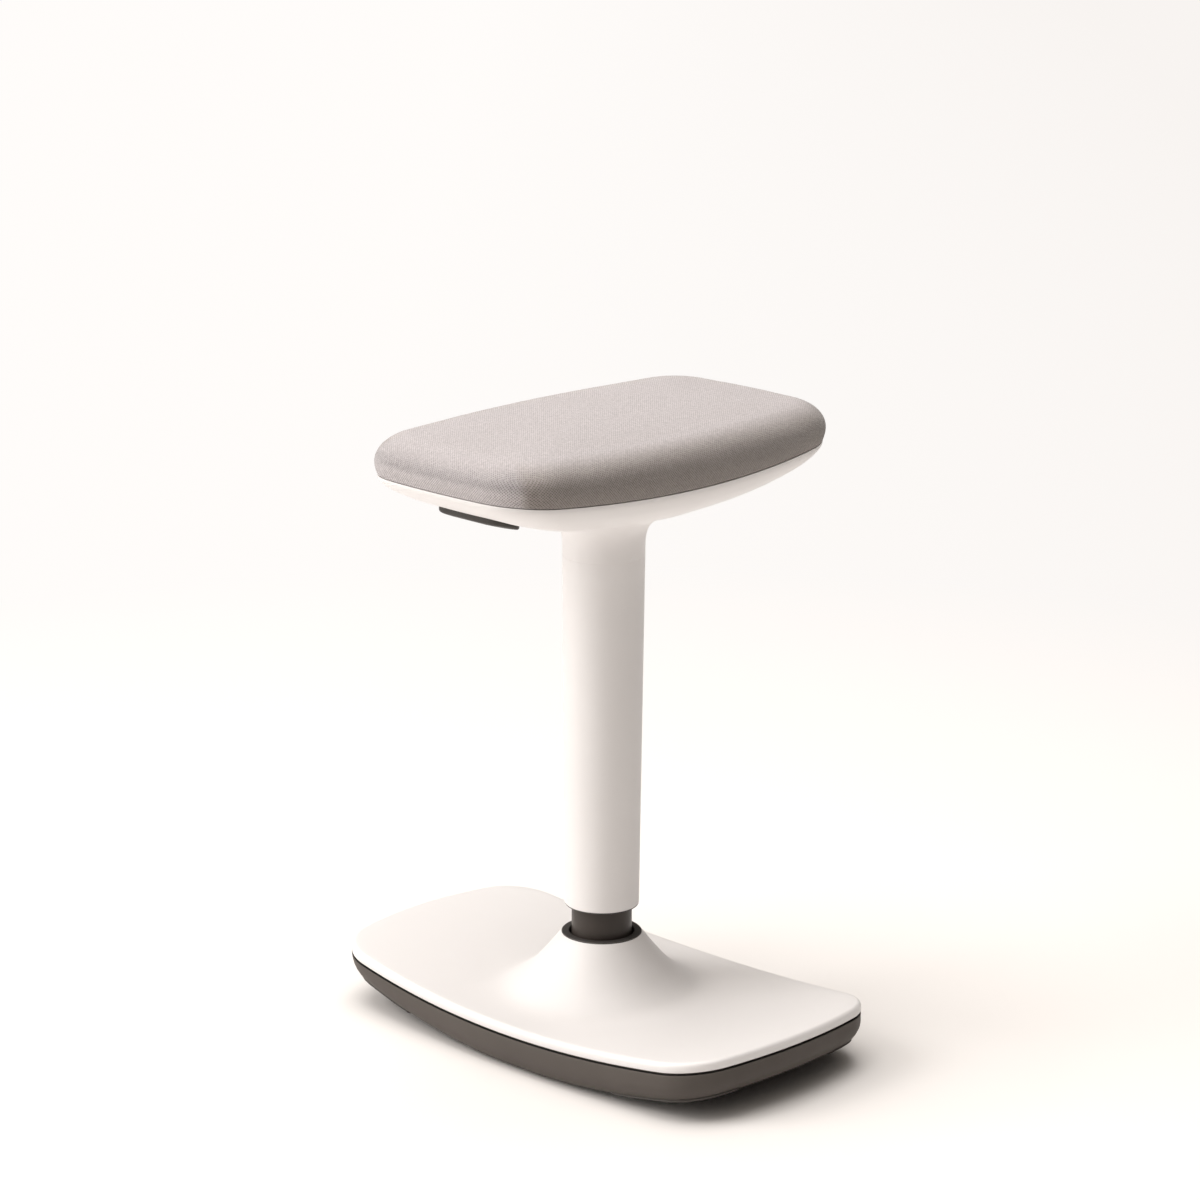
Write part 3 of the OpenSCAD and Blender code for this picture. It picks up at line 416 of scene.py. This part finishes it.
WEAVE_PITCH, WEAVE_DRIFT = 0.00115, 0.004
LIGHT_YARN = (0.767, 0.711, 0.720), (0.918, 0.851, 0.863)
DARK_YARN = (0.385, 0.350, 0.348), (0.505, 0.462, 0.460)
YARN_GAP, WORN_YARN = (0.16, 0.145, 0.138), (0.42, 0.39, 0.375)
# The first colour here warms the painted shade on the cushion's long walls.
SIDE_SHADE_WARMTH, NO_CHANGE, BLACK = (1.0, 0.965, 0.89), (1.0, 1.0, 1.0), (0.0, 0.0, 0.0)
# Painted shade: share of the top's lightness that the cushion's walls keep under the shoulder and
# at the foot
SIDE_SHADE_UPPER, SIDE_SHADE_FOOT = 0.45, 0.53
END_SHADE_UPPER, END_SHADE_FOOT = 0.61, 0.88


def woven(name):
    """A fine plain weave of light and dark yarns, laid on by position: top, ends, long sides.

    The walls carry painted shade: they are darkened by which way they face, less so at their foot
    and on the ends, and the long walls are tinted warm as well."""
    m = Mat(name)

    def cloth(u, v):
        """Height and yarn choice of the weave over two coordinates."""
        a = m.maths("MULTIPLY", u, math.pi / WEAVE_PITCH)
        b = m.maths("MULTIPLY", v, math.pi / WEAVE_PITCH)
        warp = m.maths("ABSOLUTE", m.maths("SINE", a))
        weft = m.maths("ABSOLUTE", m.maths("SINE", b))
        over = m.maths("GREATER_THAN",
                       m.maths("MULTIPLY", m.maths("SINE", m.maths("ADD", a, math.pi / 2)),
                               m.maths("SINE", m.maths("ADD", b, math.pi / 2))), 0.0)
        low = m.maths("MULTIPLY", m.maths("MINIMUM", warp, weft), 0.45)
        up = m.blend(over, weft, warp)
        return m.maths("ADD", m.maths("MULTIPLY", up, 0.6), low), over

    wander = m.noise(9.0, output="Color")
    x, y, z = m.split(m.vector("MULTIPLY_ADD", wander, (WEAVE_DRIFT,) * 3, m.coords()))
    top, end, side = cloth(x, y), cloth(z, y), cloth(x, z)
    normal = m.facing()
    nx, ny, nz = (m.maths("ABSOLUTE", normal[i]) for i in range(3))
    upward = normal[2]
    is_end = m.spread(m.maths("SUBTRACT", nx, ny), -0.12, 0.12)
    is_top = m.spread(nz, 0.62, 0.74)
    height, yarn = (m.blend(is_top, m.blend(is_end, s, e), t)
                    for s, e, t in zip(side, end, top))

    fleck = m.patches(420.0, 3.0, half=0.15)
    flat = m.spread(nz, 0.2, 0.9)
    yarns = m.mix(m.spread(yarn, 0.0, 1.0, m.spread(flat, 0.0, 1.0, 0.0, 0.2),
                           m.spread(flat, 0.0, 1.0, 1.0, 0.8)),
                  m.mix(fleck, *LIGHT_YARN), m.mix(fleck, *DARK_YARN))
    shaded = m.mix(m.spread(height, 0.0, 0.7, 0.55, 0.0), yarns, YARN_GAP)

    # Painted shade: the walls keep only a share of the top's lightness, less darkened at the foot
    # and on the ends, and the long walls are tinted warm.
    shoulder = m.maths("POWER", m.spread(upward, 0.25, 1.0), m.blend(is_end, 2.0, 3.0))
    side_foot = m.spread(upward, -0.12, 0.28, 1.0, 0.0)
    end_foot = m.spread(upward, 0.0, 0.33, 1.0, 0.0)
    wall = m.blend(is_end, m.blend(side_foot, SIDE_SHADE_UPPER, SIDE_SHADE_FOOT),
                   m.blend(end_foot, END_SHADE_UPPER, END_SHADE_FOOT))
    cool = m.maths("MAXIMUM", shoulder, is_end)
    shade_warmed = m.vector("MULTIPLY", shaded, m.mix(cool, SIDE_SHADE_WARMTH, NO_CHANGE))
    wall_shaded = m.mix(m.blend(shoulder, wall, 1.0), BLACK, shade_warmed)
    worn = m.maths("MULTIPLY", m.patches(18.0, 3.0), 0.10)
    fuzz = m.bump(m.noise(1500.0), 0.00008, 0.3)
    return m.finish(m.mix(worn, wall_shaded, WORN_YARN), 0.92, m.bump(height, 0.00030, 0.9, fuzz),
                    Sheen_Weight=0.35, Sheen_Roughness=0.45, Specular_IOR_Level=0.2)


BY_SLOT = {
    "white_plastic": moulded("white_plastic", (0.845, 0.816, 0.804), (0.90, 0.88, 0.87), 0.46),
    # The level colour below is painted shade for the pan's underside and the ledge in its shadow
    # line.
    "pan_plastic": moulded("pan_plastic", (0.096, 0.083, 0.074), (0.14, 0.122, 0.110), 0.55,
                           grain=1800.0, depth=0.00006, lift=0.25, shine=0.16,
                           level=(0.018, 0.016, 0.015)),
    "collar_plastic": moulded("collar_plastic", (0.045, 0.041, 0.038), (0.09, 0.082, 0.076), 0.5,
                              grain=2200.0, depth=0.00004, lift=0.2),
    "lever_plastic": moulded("lever_plastic", (0.060, 0.054, 0.050), (0.10, 0.092, 0.085), 0.55,
                             grain=2200.0, depth=0.00004, lift=0.2, shine=0.15),
    "black_bearing_plastic": moulded("bearing_plastic", (0.02,) * 3, (0.04,) * 3, 0.5),
    "natural_plastic": moulded("natural_plastic", (0.72, 0.70, 0.62), (0.78, 0.76, 0.7), 0.5),
    "pad_rubber": rubber("pad_rubber", (0.070, 0.063, 0.058)),
    "black_rubber": rubber("black_rubber", (0.014, 0.014, 0.014)),
    "tube_paint": painted("tube_paint", (0.056, 0.046, 0.040), 0.38, shine=0.22),
    "dark_steel": painted("dark_steel", (0.028, 0.028, 0.03), 0.45),
    "ballast_iron": painted("ballast_iron", (0.05, 0.05, 0.052), 0.6),
    "plain_steel": metal("plain_steel", (0.52, 0.52, 0.52), 0.34),
    "chrome_steel": metal("chrome_steel", (0.75, 0.75, 0.77), 0.14),
    "alloy": metal("alloy", (0.6, 0.6, 0.62), 0.32),
    "brass_parts": metal("brass_parts", (0.66, 0.47, 0.2), 0.32),
    "plywood": plywood("plywood"),
    "seat_fabric": woven("seat_fabric"),
}
for part in frame["record"]["subparts"]:
    mesh = nodes[part["node"]].data
    mesh.materials.clear()
    mesh.materials.append(BY_SLOT[part["material_slot"]])


def dress(obj, slot, body, *replaced):
    """Give a piece its material, its body and the nodes it stands for."""
    obj.data.materials.clear()
    obj.data.materials.append(BY_SLOT[slot])
    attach(obj, body)
    if replaced:
        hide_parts(*replaced)


# Base cover: deck and trumpet in one smooth skin

DECK_Z = JOINT_Z + COVER_EDGE
TRUMPET = [(NECK_R, NECK_Z), (NECK_R + NECK_PULL[0], NECK_Z + NECK_PULL[1]),
           (TRUMPET_R + DECK_PULL[0], DECK_Z + DECK_PULL[1]), (TRUMPET_R, DECK_Z - DECK_SINK)]
TRUMPET_POINTS = [bezier(TRUMPET, t / 60) for t in range(61)]
TRUMPET_FALL = 0.12  # slope beyond the curve's end
LEVEL_FROM, LEVEL_OVER = 0.034, 0.06
DECK_SOFT = 0.0045
# The skirt is the skin's round part. Its rings lie closer to the neck, and stay within a share
# of the way to the rim that grows from the first number to the sum of both.
SKIRT_R, SKIRT_RINGS, SKIRT_SPACING, SKIRT_SHARE = 0.106, 20, 1.1, (0.55, 0.4)
DECK_RINGS = 12
LIP, THROAT = 0.975, 0.895  # shares of the mouth's radius


def trumpet_z(r):
    """Height of the trumpet at radius r, by interpolation along its curve."""
    pts = TRUMPET_POINTS
    for (r0, z0), (r1, z1) in zip(pts, pts[1:]):
        if r <= r1:
            return z0 + (z1 - z0) * max(0.0, r - r0) / (r1 - r0)
    return pts[-1][1] - (r - pts[-1][0]) * TRUMPET_FALL


def deck_z(x, y):
    """Top of the cover: the larger of deck and trumpet, blended over a few millimetres.

    The deck follows the joint's arc, and is level round the trumpet."""
    r = math.hypot(x, y)
    flat = joint(y) + COVER_EDGE
    level = flat + (DECK_Z - flat) * (1 - smooth((r - LEVEL_FROM) / LEVEL_OVER))
    horn = trumpet_z(r)
    h = max(DECK_SOFT - abs(level - horn), 0.0) / DECK_SOFT
    return max(level, horn) + h * h * DECK_SOFT / 4


def cover_rings(drop):
    """Rings from the neck out to the edge, lowered by drop."""
    rim = base_line(COVER_ROUND)
    width = SKIRT_R - NECK_R
    plans = []
    for i in range(SKIRT_RINGS + 1):
        r = NECK_R - 3 * BEVEL + width * (i / SKIRT_RINGS) ** SKIRT_SPACING
        share = SKIRT_SHARE[0] + SKIRT_SHARE[1] * (r - NECK_R) / width
        plan = []
        for x, y in rim:
            d = math.hypot(x, y)
            q = min(r, d * share)
            plan.append((x / d * q, y / d * q))
        plans.append(plan)
    skirt = plans[-1]
    for i in range(1, DECK_RINGS + 1):
        s = i / DECK_RINGS
        plans.append([(px + (x - px) * s, py + (y - py) * s)
                      for (x, y), (px, py) in zip(rim, skirt)])
    return [lifted(plan, lambda x, y: deck_z(x, y) - drop) for plan in plans]


def build_cover():
    top = cover_rings(0.0)
    mouth_r = NECK_R - BEVEL
    mouth = [(x / math.hypot(x, y) * mouth_r, y / math.hypot(x, y) * mouth_r)
             for x, y, _ in top[0]]

    def inwards(k, z):
        return [(x * k, y * k, z) for x, y in mouth]

    def edge_ring(inset, up):
        return lifted(base_line(inset), lambda x, y: joint(y) + up)

    down = inwards(THROAT, NECK_Z)
    edge = []
    for i in range(1, 7):
        a = math.pi / 2 * (1 - i / 6)
        edge.append(edge_ring(COVER_ROUND * (1 - math.cos(a)),
                              COVER_EDGE - COVER_ROUND + COVER_ROUND * math.sin(a)))
    for inset, up in ((0.0, 0.0008), (0.0003, 0.0003), (0.0009, 0.0), (COVER_WALL, 0.0)):
        edge.append(edge_ring(inset, up))
    under = cover_rings(COVER_WALL)[::-1]
    rings = ([down, inwards(LIP, NECK_Z + 0.0001), inwards(1.0, NECK_Z)] + top[1:] + edge
             + under[:-1] + [inwards(THROAT, NECK_Z - COVER_WALL), down])
    obj = tube("cover_skin", rings)
    face_outwards(obj, merge=True)
    smooth_shade(obj, 40)
    dress(obj, "white_plastic", "base", "base_cover")


build_cover()

# Seat shell: bowl, rim, flare and collar in one skin, with the paddle's opening and screw holes

SEAT_EDGE = seat_line(0.0)
SEAT_ANGLES = [math.atan2(y, x) % (2 * math.pi) for x, y in SEAT_EDGE]
SEAT_ANGLES[0] = 0.0


def shell_share(x, y):
    """How far a point lies on its ray from the middle to the rim, from 0 to 1."""
    a = math.atan2(y, x) % (2 * math.pi)
    i = bisect_right(SEAT_ANGLES, a) - 1
    p, q = SEAT_EDGE[i], SEAT_EDGE[(i + 1) % len(SEAT_EDGE)]
    ex, ey = q[0] - p[0], q[1] - p[1]
    reach = (p[0] * ey - p[1] * ex) / (math.cos(a) * ey - math.sin(a) * ex)
    return min(1.0, math.hypot(x, y) / reach)


def bare_bowl_z(x, y, s):
    """The bowl without its rim, at share s of the way out: it is steeper along X than along Y."""
    u, v = abs(x) / SEAT_X, abs(y) / SEAT_Y
    if u + v < 1e-9:
        return SEAT_Z - RIM_H - BOWL_H
    w = u ** 4 / (u ** 4 + v ** 4)
    power = BOWL_PX * w + BOWL_PY * (1 - w)
    return saddle(x) - RIM_H - BOWL_H * (1 - s ** power)


def rim_curve(x, y, t):
    """A point of the soft turn between bowl and rim, on the ray to the rim's point x, y."""
    k = RIM_FROM * (1 - t) ** 2 + 2 * t * (1 - t) + t * t
    z = (bare_bowl_z(x * RIM_FROM, y * RIM_FROM, RIM_FROM) * (1 - t) ** 2
         + (saddle(x) - RIM_H) * 2 * t * (1 - t) + (saddle(x) - RIM_H + RIM_SOFT) * t * t)
    return k, z


def bowl_z(x, y):
    """Outside of the bowl at a point of the plan, with the soft turn into its rim."""
    s = shell_share(x, y)
    if s <= RIM_FROM:
        return bare_bowl_z(x, y, s)
    gap = max(0.0, (1 - s) / (1 - RIM_FROM))
    return rim_curve(x / s, y / s, 1 - math.sqrt(gap))[1]


FLARE_SHARE, FLARE_RINGS = 0.93, 20
# How the bowl grows out of the flare: over what distance, and at what slope it starts. Its last
# ring lies at share BOWL_REACH of the way to the rim's turn.
LEAD, LEAD_SLOPE, BOWL_REACH = 0.022, 0.27, 0.97
BOWL_STEPS = [0.06, 0.12, 0.18, 0.24, 0.30, 0.36, 0.43, 0.50, 0.57, 0.64, 0.70, 0.76, 0.81, 0.855]
INSIDE_STEPS = [1.0, 0.97, 0.94, 0.885, 0.8, 0.69, 0.62, 0.58]
INSIDE_R, CUSHION_GAP = 0.069, 0.0002
OPENING_Z, SHELL_HOLE_Z = (0.452, 0.4925), (0.440, 0.4617)


def flare(t, wall=0.0):
    """The curve from collar to bowl, as radius and height, outside or a wall further in."""
    edge = SLEEVE_TOP_R + FLARE_W - wall
    foot = FLARE_FOOT + wall
    return bezier([(SLEEVE_TOP_R - wall, foot), (SLEEVE_TOP_R - wall, foot + COLLAR_PULL),
                   (edge - BOWL_PULL[0], FLARE_TOP - BOWL_PULL[1] + wall),
                   (edge, FLARE_TOP + wall)], t)


def build_shell():
    rim = SEAT_EDGE

    def round_ring(r, z):
        return [(x / math.hypot(x, y) * r, y / math.hypot(x, y) * r, z) for x, y in rim]

    start_r, start_z = flare(FLARE_SHARE)

    def bowl_point(x, y, s):
        d = math.hypot(x, y)
        r = start_r + (d * RIM_FROM - start_r) * s / BOWL_STEPS[-1] * BOWL_REACH
        px, py = x / d * r, y / d * r
        w = smooth((r - start_r) / LEAD)
        fall = 1 - 0.5 * min(1.0, (r - start_r) / LEAD)
        tangent = start_z + (r - start_r) * LEAD_SLOPE * fall
        return px, py, tangent * (1 - w) + bowl_z(px, py) * w

    def inside_point(x, y, s):
        d = math.hypot(x, y)
        last = INSIDE_STEPS[-1]
        r = INSIDE_R + (d - INSIDE_R) * (s - last) / (1 - last)
        px, py = x / d * r, y / d * r
        return px, py, bowl_z(px, py) + SHELL_WALL

    rings = [round_ring(SLEEVE_TOP_R - SHELL_WALL, SLEEVE_TOP),
             round_ring(SLEEVE_TOP_R - BEVEL, SLEEVE_TOP),
             round_ring(SLEEVE_TOP_R, SLEEVE_TOP + BEVEL),
             round_ring(SLEEVE_TOP_R, (SLEEVE_TOP + FLARE_FOOT) / 2)]
    rings += [round_ring(*flare(i / FLARE_RINGS * FLARE_SHARE)) for i in range(FLARE_RINGS + 1)]
    rings += [[bowl_point(x, y, s) for x, y in rim] for s in BOWL_STEPS]
    for i in range(9):
        turn = [rim_curve(x, y, i / 8) for x, y in rim]
        rings.append([(x * k, y * k, z) for (x, y), (k, z) in zip(rim, turn)])
    inner = seat_line(SHELL_WALL)
    rings += [lifted(line, lambda x, y: saddle(x) - CUSHION_GAP) for line in (rim, inner)]
    rings += [[inside_point(x, y, s) for x, y in inner] for s in INSIDE_STEPS]
    rings += [round_ring(*flare(1 - i / 10, SHELL_WALL)) for i in range(11)]
    rings.append(rings[0])
    obj = tube("shell_skin", rings)
    face_outwards(obj, merge=True)
    cut(obj, rounded(-PADDLE_X, 0, PADDLE_W / 2 + PADDLE_GAP, PADDLE_L / 2 + PADDLE_GAP,
                     PADDLE_R + PADDLE_GAP), *OPENING_Z)
    for sx in (-1, 1):
        for sy in (-1, 1):
            cut(obj, circle(sx * SHELL_SCREW_X, sy * SHELL_SCREW_Y, SHELL_SCREW_R), *SHELL_HOLE_Z)
    smooth_shade(obj, 32)
    dress(obj, "white_plastic", "seat", "seat_shell")


build_shell()

# Paddle: a long lens that follows the bowl, with its edge rolled in, and the block under the arm

ROLL = 0.0022
PADDLE_STEPS = [0.002, 0.25, 0.5, 0.72, 0.88, 1.0]
BLOCK_X, BLOCK_Y, BLOCK_CHAMFER = 0.007, 0.008, 0.0003


def build_paddle():
    back = PADDLE_T - PADDLE_PROUD

    def under(x):
        return bare_bowl_z(x, 0.0, abs(x) / SEAT_X)

    def face(x, y):
        return under(x) - PADDLE_PROUD - PADDLE_SWELL * (1 - (2 * y / PADDLE_L) ** 4)

    def line(inset, k=1.0):
        """The paddle's outline drawn in, and then scaled by k about its middle."""
        plan = rounded(-PADDLE_X, 0.0, PADDLE_W / 2 - inset, PADDLE_L / 2 - inset,
                       max(0.0004, PADDLE_R - inset), 14)
        return [(-PADDLE_X + (x + PADDLE_X) * k, y * k) for x, y in plan]

    rings = [lifted(line(ROLL, k), face) for k in PADDLE_STEPS]
    for i in range(1, 7):
        a = math.pi / 2 * i / 6
        rise = ROLL * (1 - math.cos(a)) * 0.8
        rings.append(lifted(line(ROLL * (1 - math.sin(a))), lambda x, y: face(x, y) + rise))
    for inset, down in ((0.0, 0.0006), (0.0005, 0.0001)):
        rings.append(lifted(line(inset), lambda x, y: under(x) + back - down))
    for k in reversed(PADDLE_STEPS[:-1]):
        rings.append(lifted(line(0.0012, k), lambda x, y: under(x) + back))
    skin = tube("paddle_skin", rings, True)
    face_outwards(skin)
    smooth_shade(skin, 50)
    dress(skin, "lever_plastic", "lever", "lever_paddle")

    arm_end, arm_z = PADDLE_X - 0.001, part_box("lever_arm")[0][2]
    low = under(-arm_end) + back - 0.001
    block = tube("paddle_block", [
        lifted(rounded(BLOCK_X - arm_end, 0.0, BLOCK_X - c, BLOCK_Y - c, 0.0015, 5), z)
        for c, z in ((0.0, low), (0.0, arm_z - 0.0004), (BLOCK_CHAMFER, arm_z))], True)
    face_outwards(block)
    smooth_shade(block, 40)
    dress(block, "lever_plastic", "lever")


build_paddle()

# Pan: the dark lower half, with its rolled edge, flat land, shadow line and screw recesses


def build_pan():
    rings = [lifted(pan_line(inset), lambda x, y: tread(y))
             for inset in (0.100, 0.085, 0.070, 0.055, 0.042, 0.031, 0.024)]
    for i in range(15):
        a = math.pi / 2 * (1 - i / 14)
        up = PAN_ROUND - PAN_ROUND * math.sin(a)
        rings.append(lifted(base_line(PAN_ROUND * (1 - math.cos(a))),
                            lambda x, y: tread(y) + up))
    rings.append(lifted(base_line(0.0),
                        lambda x, y: (tread(y) + PAN_ROUND + joint(y) - PAN_REVEAL) / 2))
    groove = 1.6 * PAN_REVEAL
    for inset, down in ((0.0, PAN_REVEAL + 0.0004), (0.0004, PAN_REVEAL),
                        (groove, PAN_REVEAL - 0.0001), (groove + 0.0001, 0.00005),
                        (PAN_WALL, 0.00005)):
        rings.append(lifted(base_line(inset), lambda x, y: joint(y) - down))
    for plan, up in ((base_line(PAN_WALL), 3 * PAN_WALL), (base_line(3 * PAN_WALL), PAN_WALL),
                     (pan_line(0.060), PAN_WALL), (pan_line(0.100), PAN_WALL)):
        rings.append(lifted(plan, lambda x, y: tread(y) + up))
    pan = tube("pan_skin", rings, True)
    face_outwards(pan)
    for sx in (-1, 1):
        for k in (-1, 0, 1):
            y = ROCKER_Y + k * PAN_SCREW_PITCH
            cut(pan, circle(sx * PAN_SCREW_X, y, PAN_SCREW_R), -0.01, tread(y) + PAN_SCREW_DEEP)
    smooth_shade(pan, 40)
    dress(pan, "pan_plastic", "base", "base_pan")


build_pan()

# Cushion: a cover with rounder ends, moved a little as cloth under pressure from its filling

CLOTH_MOVE, CLOTH_FRAMES, CLOTH_NEIGHBOURS = 0.0010, 20, 40
TOP_STEPS = (0.92, 0.84, 0.74, 0.64, 0.52, 0.4, 0.28, 0.16, 0.06)


def cushion_rings():
    """Rings of the cushion from its lower edge up to the middle of its top."""

    def ring(inset, up, s=1.0, crown=0.0, soft=0.0):
        keep = 1 - (1 - CUSHION_DISH) * up / CUSHION_H
        k = s * (1 - soft / SEAT_X)
        return [(x * k, y * s, SEAT_Z + up + crown + sag(x * k, SADDLE_R) * keep)
                for x, y in seat_line(inset)]

    side = CUSHION_H - CUSHION_ROUND
    rings = [ring(0.0040, 0.0), ring(0.0, 0.0)]
    for i in range(1, 7):
        rings.append(ring(-CUSHION_BULGE * math.sin(math.pi / 2 * i / 6), side * i / 6))
    for i in range(1, 15):
        a = math.pi / 2 * i / 14
        rings.append(ring(CUSHION_ROUND * (1 - math.cos(a)) - CUSHION_BULGE,
                          side + CUSHION_ROUND * math.sin(a),
                          soft=CUSHION_END * (1 - math.cos(a))))
    for s in TOP_STEPS:
        rings.append(ring(CUSHION_ROUND - CUSHION_BULGE, CUSHION_H, s, CROWN * (1 - s * s),
                          CUSHION_END))
    return rings


def cloth_moves(rings):
    """How a coarser copy of the cover moves as cloth: a tree of its points, and their moves."""
    obj = tube("cloth", rings, True)
    face_outwards(obj)
    remesh = obj.modifiers.new("remesh", "REMESH")
    remesh.mode = "VOXEL"
    remesh.voxel_size = 0.0046
    apply_modifiers(obj)
    start = [v.co.copy() for v in obj.data.vertices]
    held = obj.vertex_groups.new(name="held")
    for v in obj.data.vertices:
        if v.co.z - saddle(v.co.x) < 0.005:
            held.add([v.index], 1.0, "REPLACE")
    cloth = obj.modifiers.new("cloth", "CLOTH")
    s = cloth.settings
    s.quality = 6
    s.mass = 0.3
    s.use_pressure = True
    s.uniform_pressure_force = 4.0
    s.tension_stiffness = 25
    s.compression_stiffness = 25
    s.shear_stiffness = 12
    s.bending_stiffness = 2.0
    s.effector_weights.gravity = 0.0
    s.vertex_group_mass = "held"
    cloth.collision_settings.use_self_collision = False
    cloth.point_cache.frame_start = 1
    cloth.point_cache.frame_end = CLOTH_FRAMES
    for f in range(1, CLOTH_FRAMES + 1):
        scene.frame_set(f)
    apply_modifiers(obj)
    scene.frame_set(1)
    moves = [v.co - p for v, p in zip(obj.data.vertices, start)]
    share = min(1.0, CLOTH_MOVE / max(m.length for m in moves))
    tree = KDTree(len(start))
    for i, p in enumerate(start):
        tree.insert(p, i)
    tree.balance()
    bpy.data.objects.remove(obj)
    return tree, [m * share for m in moves]


def build_cushion():
    rings = cushion_rings()
    obj = tube("cushion_cover", rings, True)
    face_outwards(obj)
    fine = obj.modifiers.new("fine", "SUBSURF")
    fine.levels = fine.render_levels = 1
    apply_modifiers(obj)
    tree, moves = cloth_moves(rings)
    for v in obj.data.vertices:
        total, move = 0.0, Vector()
        for _, i, away in tree.find_n(v.co, CLOTH_NEIGHBOURS):
            w = 1 / (away + 0.004) ** 2
            total += w
            move += moves[i] * w
        v.co += move / total * smooth((v.co.z - saddle(v.co.x) - 0.002) / 0.012)
    for v in obj.data.vertices:
        v.co.z = max(v.co.z, saddle(v.co.x))
    obj.data.shade_smooth()
    dress(obj, "seat_fabric", "seat", "seat_cushion")


build_cushion()

# Stage: a floor that fades into a bright glowing ground a little way from the part, with painted
# light that makes the ground brighter on the left

FLOOR_HALF = 30
FLOOR_UNSEEN = (0.80, 0.78, 0.765)
FLOOR_SEEN = (0.895, 0.895 * 0.965, 0.895 * 0.940)
# The far ground glows with painted light: brighter on the left, as if lit from that side, and
# dimmer on the right.
GROUND_LEFT, GROUND_RIGHT = (1.0, 0.975, 0.955), (0.940, 0.905, 0.880)


def stage_floor():
    mesh = bpy.data.meshes.new("floor")
    h = FLOOR_HALF
    mesh.from_pydata([(-h, -h, 0), (h, -h, 0), (h, h, 0), (-h, h, 0)], [], [(0, 1, 2, 3)])
    floor = bpy.data.objects.new("floor", mesh)
    scene.collection.objects.link(floor)
    m = Mat("floor")
    m.tree.nodes.remove(m.bsdf)
    path = m.node("ShaderNodeLightPath").outputs
    seen = m.maths("MAXIMUM", path["Is Camera Ray"],
                   m.maths("MAXIMUM", path["Is Glossy Ray"], path["Is Transmission Ray"]))
    x, y, _ = m.split(m.coords())
    across = m.maths("ADD", m.maths("MULTIPLY", x, 0.70), m.maths("MULTIPLY", y, -0.714))
    glow = m.node("ShaderNodeEmission")
    m.fill(glow, m.mix(m.spread(across, -0.3, 1.2), GROUND_LEFT, GROUND_RIGHT))
    far = m.maths("MULTIPLY", m.spread(m.vector("LENGTH", m.coords()), 0.45, 1.5), seen)
    diffuse = m.node("ShaderNodeBsdfDiffuse")
    m.fill(diffuse, m.mix(seen, FLOOR_UNSEEN, FLOOR_SEEN))
    fade = m.fill(m.node("ShaderNodeMixShader"), far, diffuse.outputs[0], glow.outputs[0])
    m.put(m.tree.nodes["Material Output"].inputs["Surface"], fade[0])
    mesh.materials.append(m.material)


stage_floor()

# Camera, solved from the outlines of base, sleeve and seat in the photo

CAMERA_LENS, CAMERA_PLACE = 123.05, (-2.29874, -2.24288, 1.2495)
CAMERA_RIGHT = (0.69995, -0.71417, 0.00502)
CAMERA_UP = (0.18492, 0.18802, 0.96460)
CAMERA_BACK = (-0.68983, -0.67425, 0.26367)

cam_data = bpy.data.cameras.new("camera")
cam_data.sensor_fit = "HORIZONTAL"
cam_data.sensor_width = 36.0
cam_data.lens = CAMERA_LENS
cam_data.clip_end = 200.0
cam = bpy.data.objects.new("camera", cam_data)
scene.collection.objects.link(cam)
cam.matrix_world = Matrix([*zip(CAMERA_RIGHT, CAMERA_UP, CAMERA_BACK, CAMERA_PLACE), (0, 0, 0, 1)])
scene.camera = cam

# Lights: large and soft from the left and above, with a faint one in front


def area(name, place, target, size, power, color):
    data = bpy.data.lights.new(name, "AREA")
    data.shape = "RECTANGLE"
    data.size = data.size_y = size
    data.energy = power
    data.color = color
    obj = bpy.data.objects.new(name, data)
    obj.location = place
    aim = Vector(target) - Vector(place)
    obj.rotation_euler = aim.to_track_quat("-Z", "Y").to_euler()
    scene.collection.objects.link(obj)


area("key", (-4.1, 2.5, 4.17), (0, 0, 0.25), 3.0, 140.0, (1.0, 0.985, 0.97))
area("side", (-3.2, 3.0, 0.67), (0, 0, 0.35), 1.6, 60.0, (1.0, 0.985, 0.97))
area("top", (-0.45, 0.35, 5.6), (0, 0, 0.2), 4.6, 252.0, (1.0, 0.985, 0.965))
area("fill", (-2.2, -3.2, 1.6), (0, 0, 0.3), 2.4, 3.0, (1.0, 0.985, 0.97))

# World: a sky that lights from above and a little from the left, and an even ground where seen

SKY_TOWARDS, SKY_LOW, SKY_HIGH = (-0.29, 0.225, 0.930), (0.02, 0.0175, 0.015), (0.66, 0.615, 0.57)
GROUND = (1.0, 0.965, 0.945)

world = bpy.data.worlds.new("world")
scene.world = world
world.use_nodes = True
w = Nodes(world.node_tree)
ray = w.node("ShaderNodeLightPath").outputs
shown = w.maths("MAXIMUM", ray["Is Camera Ray"], ray["Is Transmission Ray"])
way = w.node("ShaderNodeTexCoord").outputs["Generated"]
sky = w.mix(w.spread(w.vector("DOT_PRODUCT", way, SKY_TOWARDS), 0.35, 0.75), SKY_LOW, SKY_HIGH)
w.fill(w.tree.nodes["Background"], w.mix(shown, sky, GROUND), 1.0)
scene.view_settings.view_transform = "Standard"
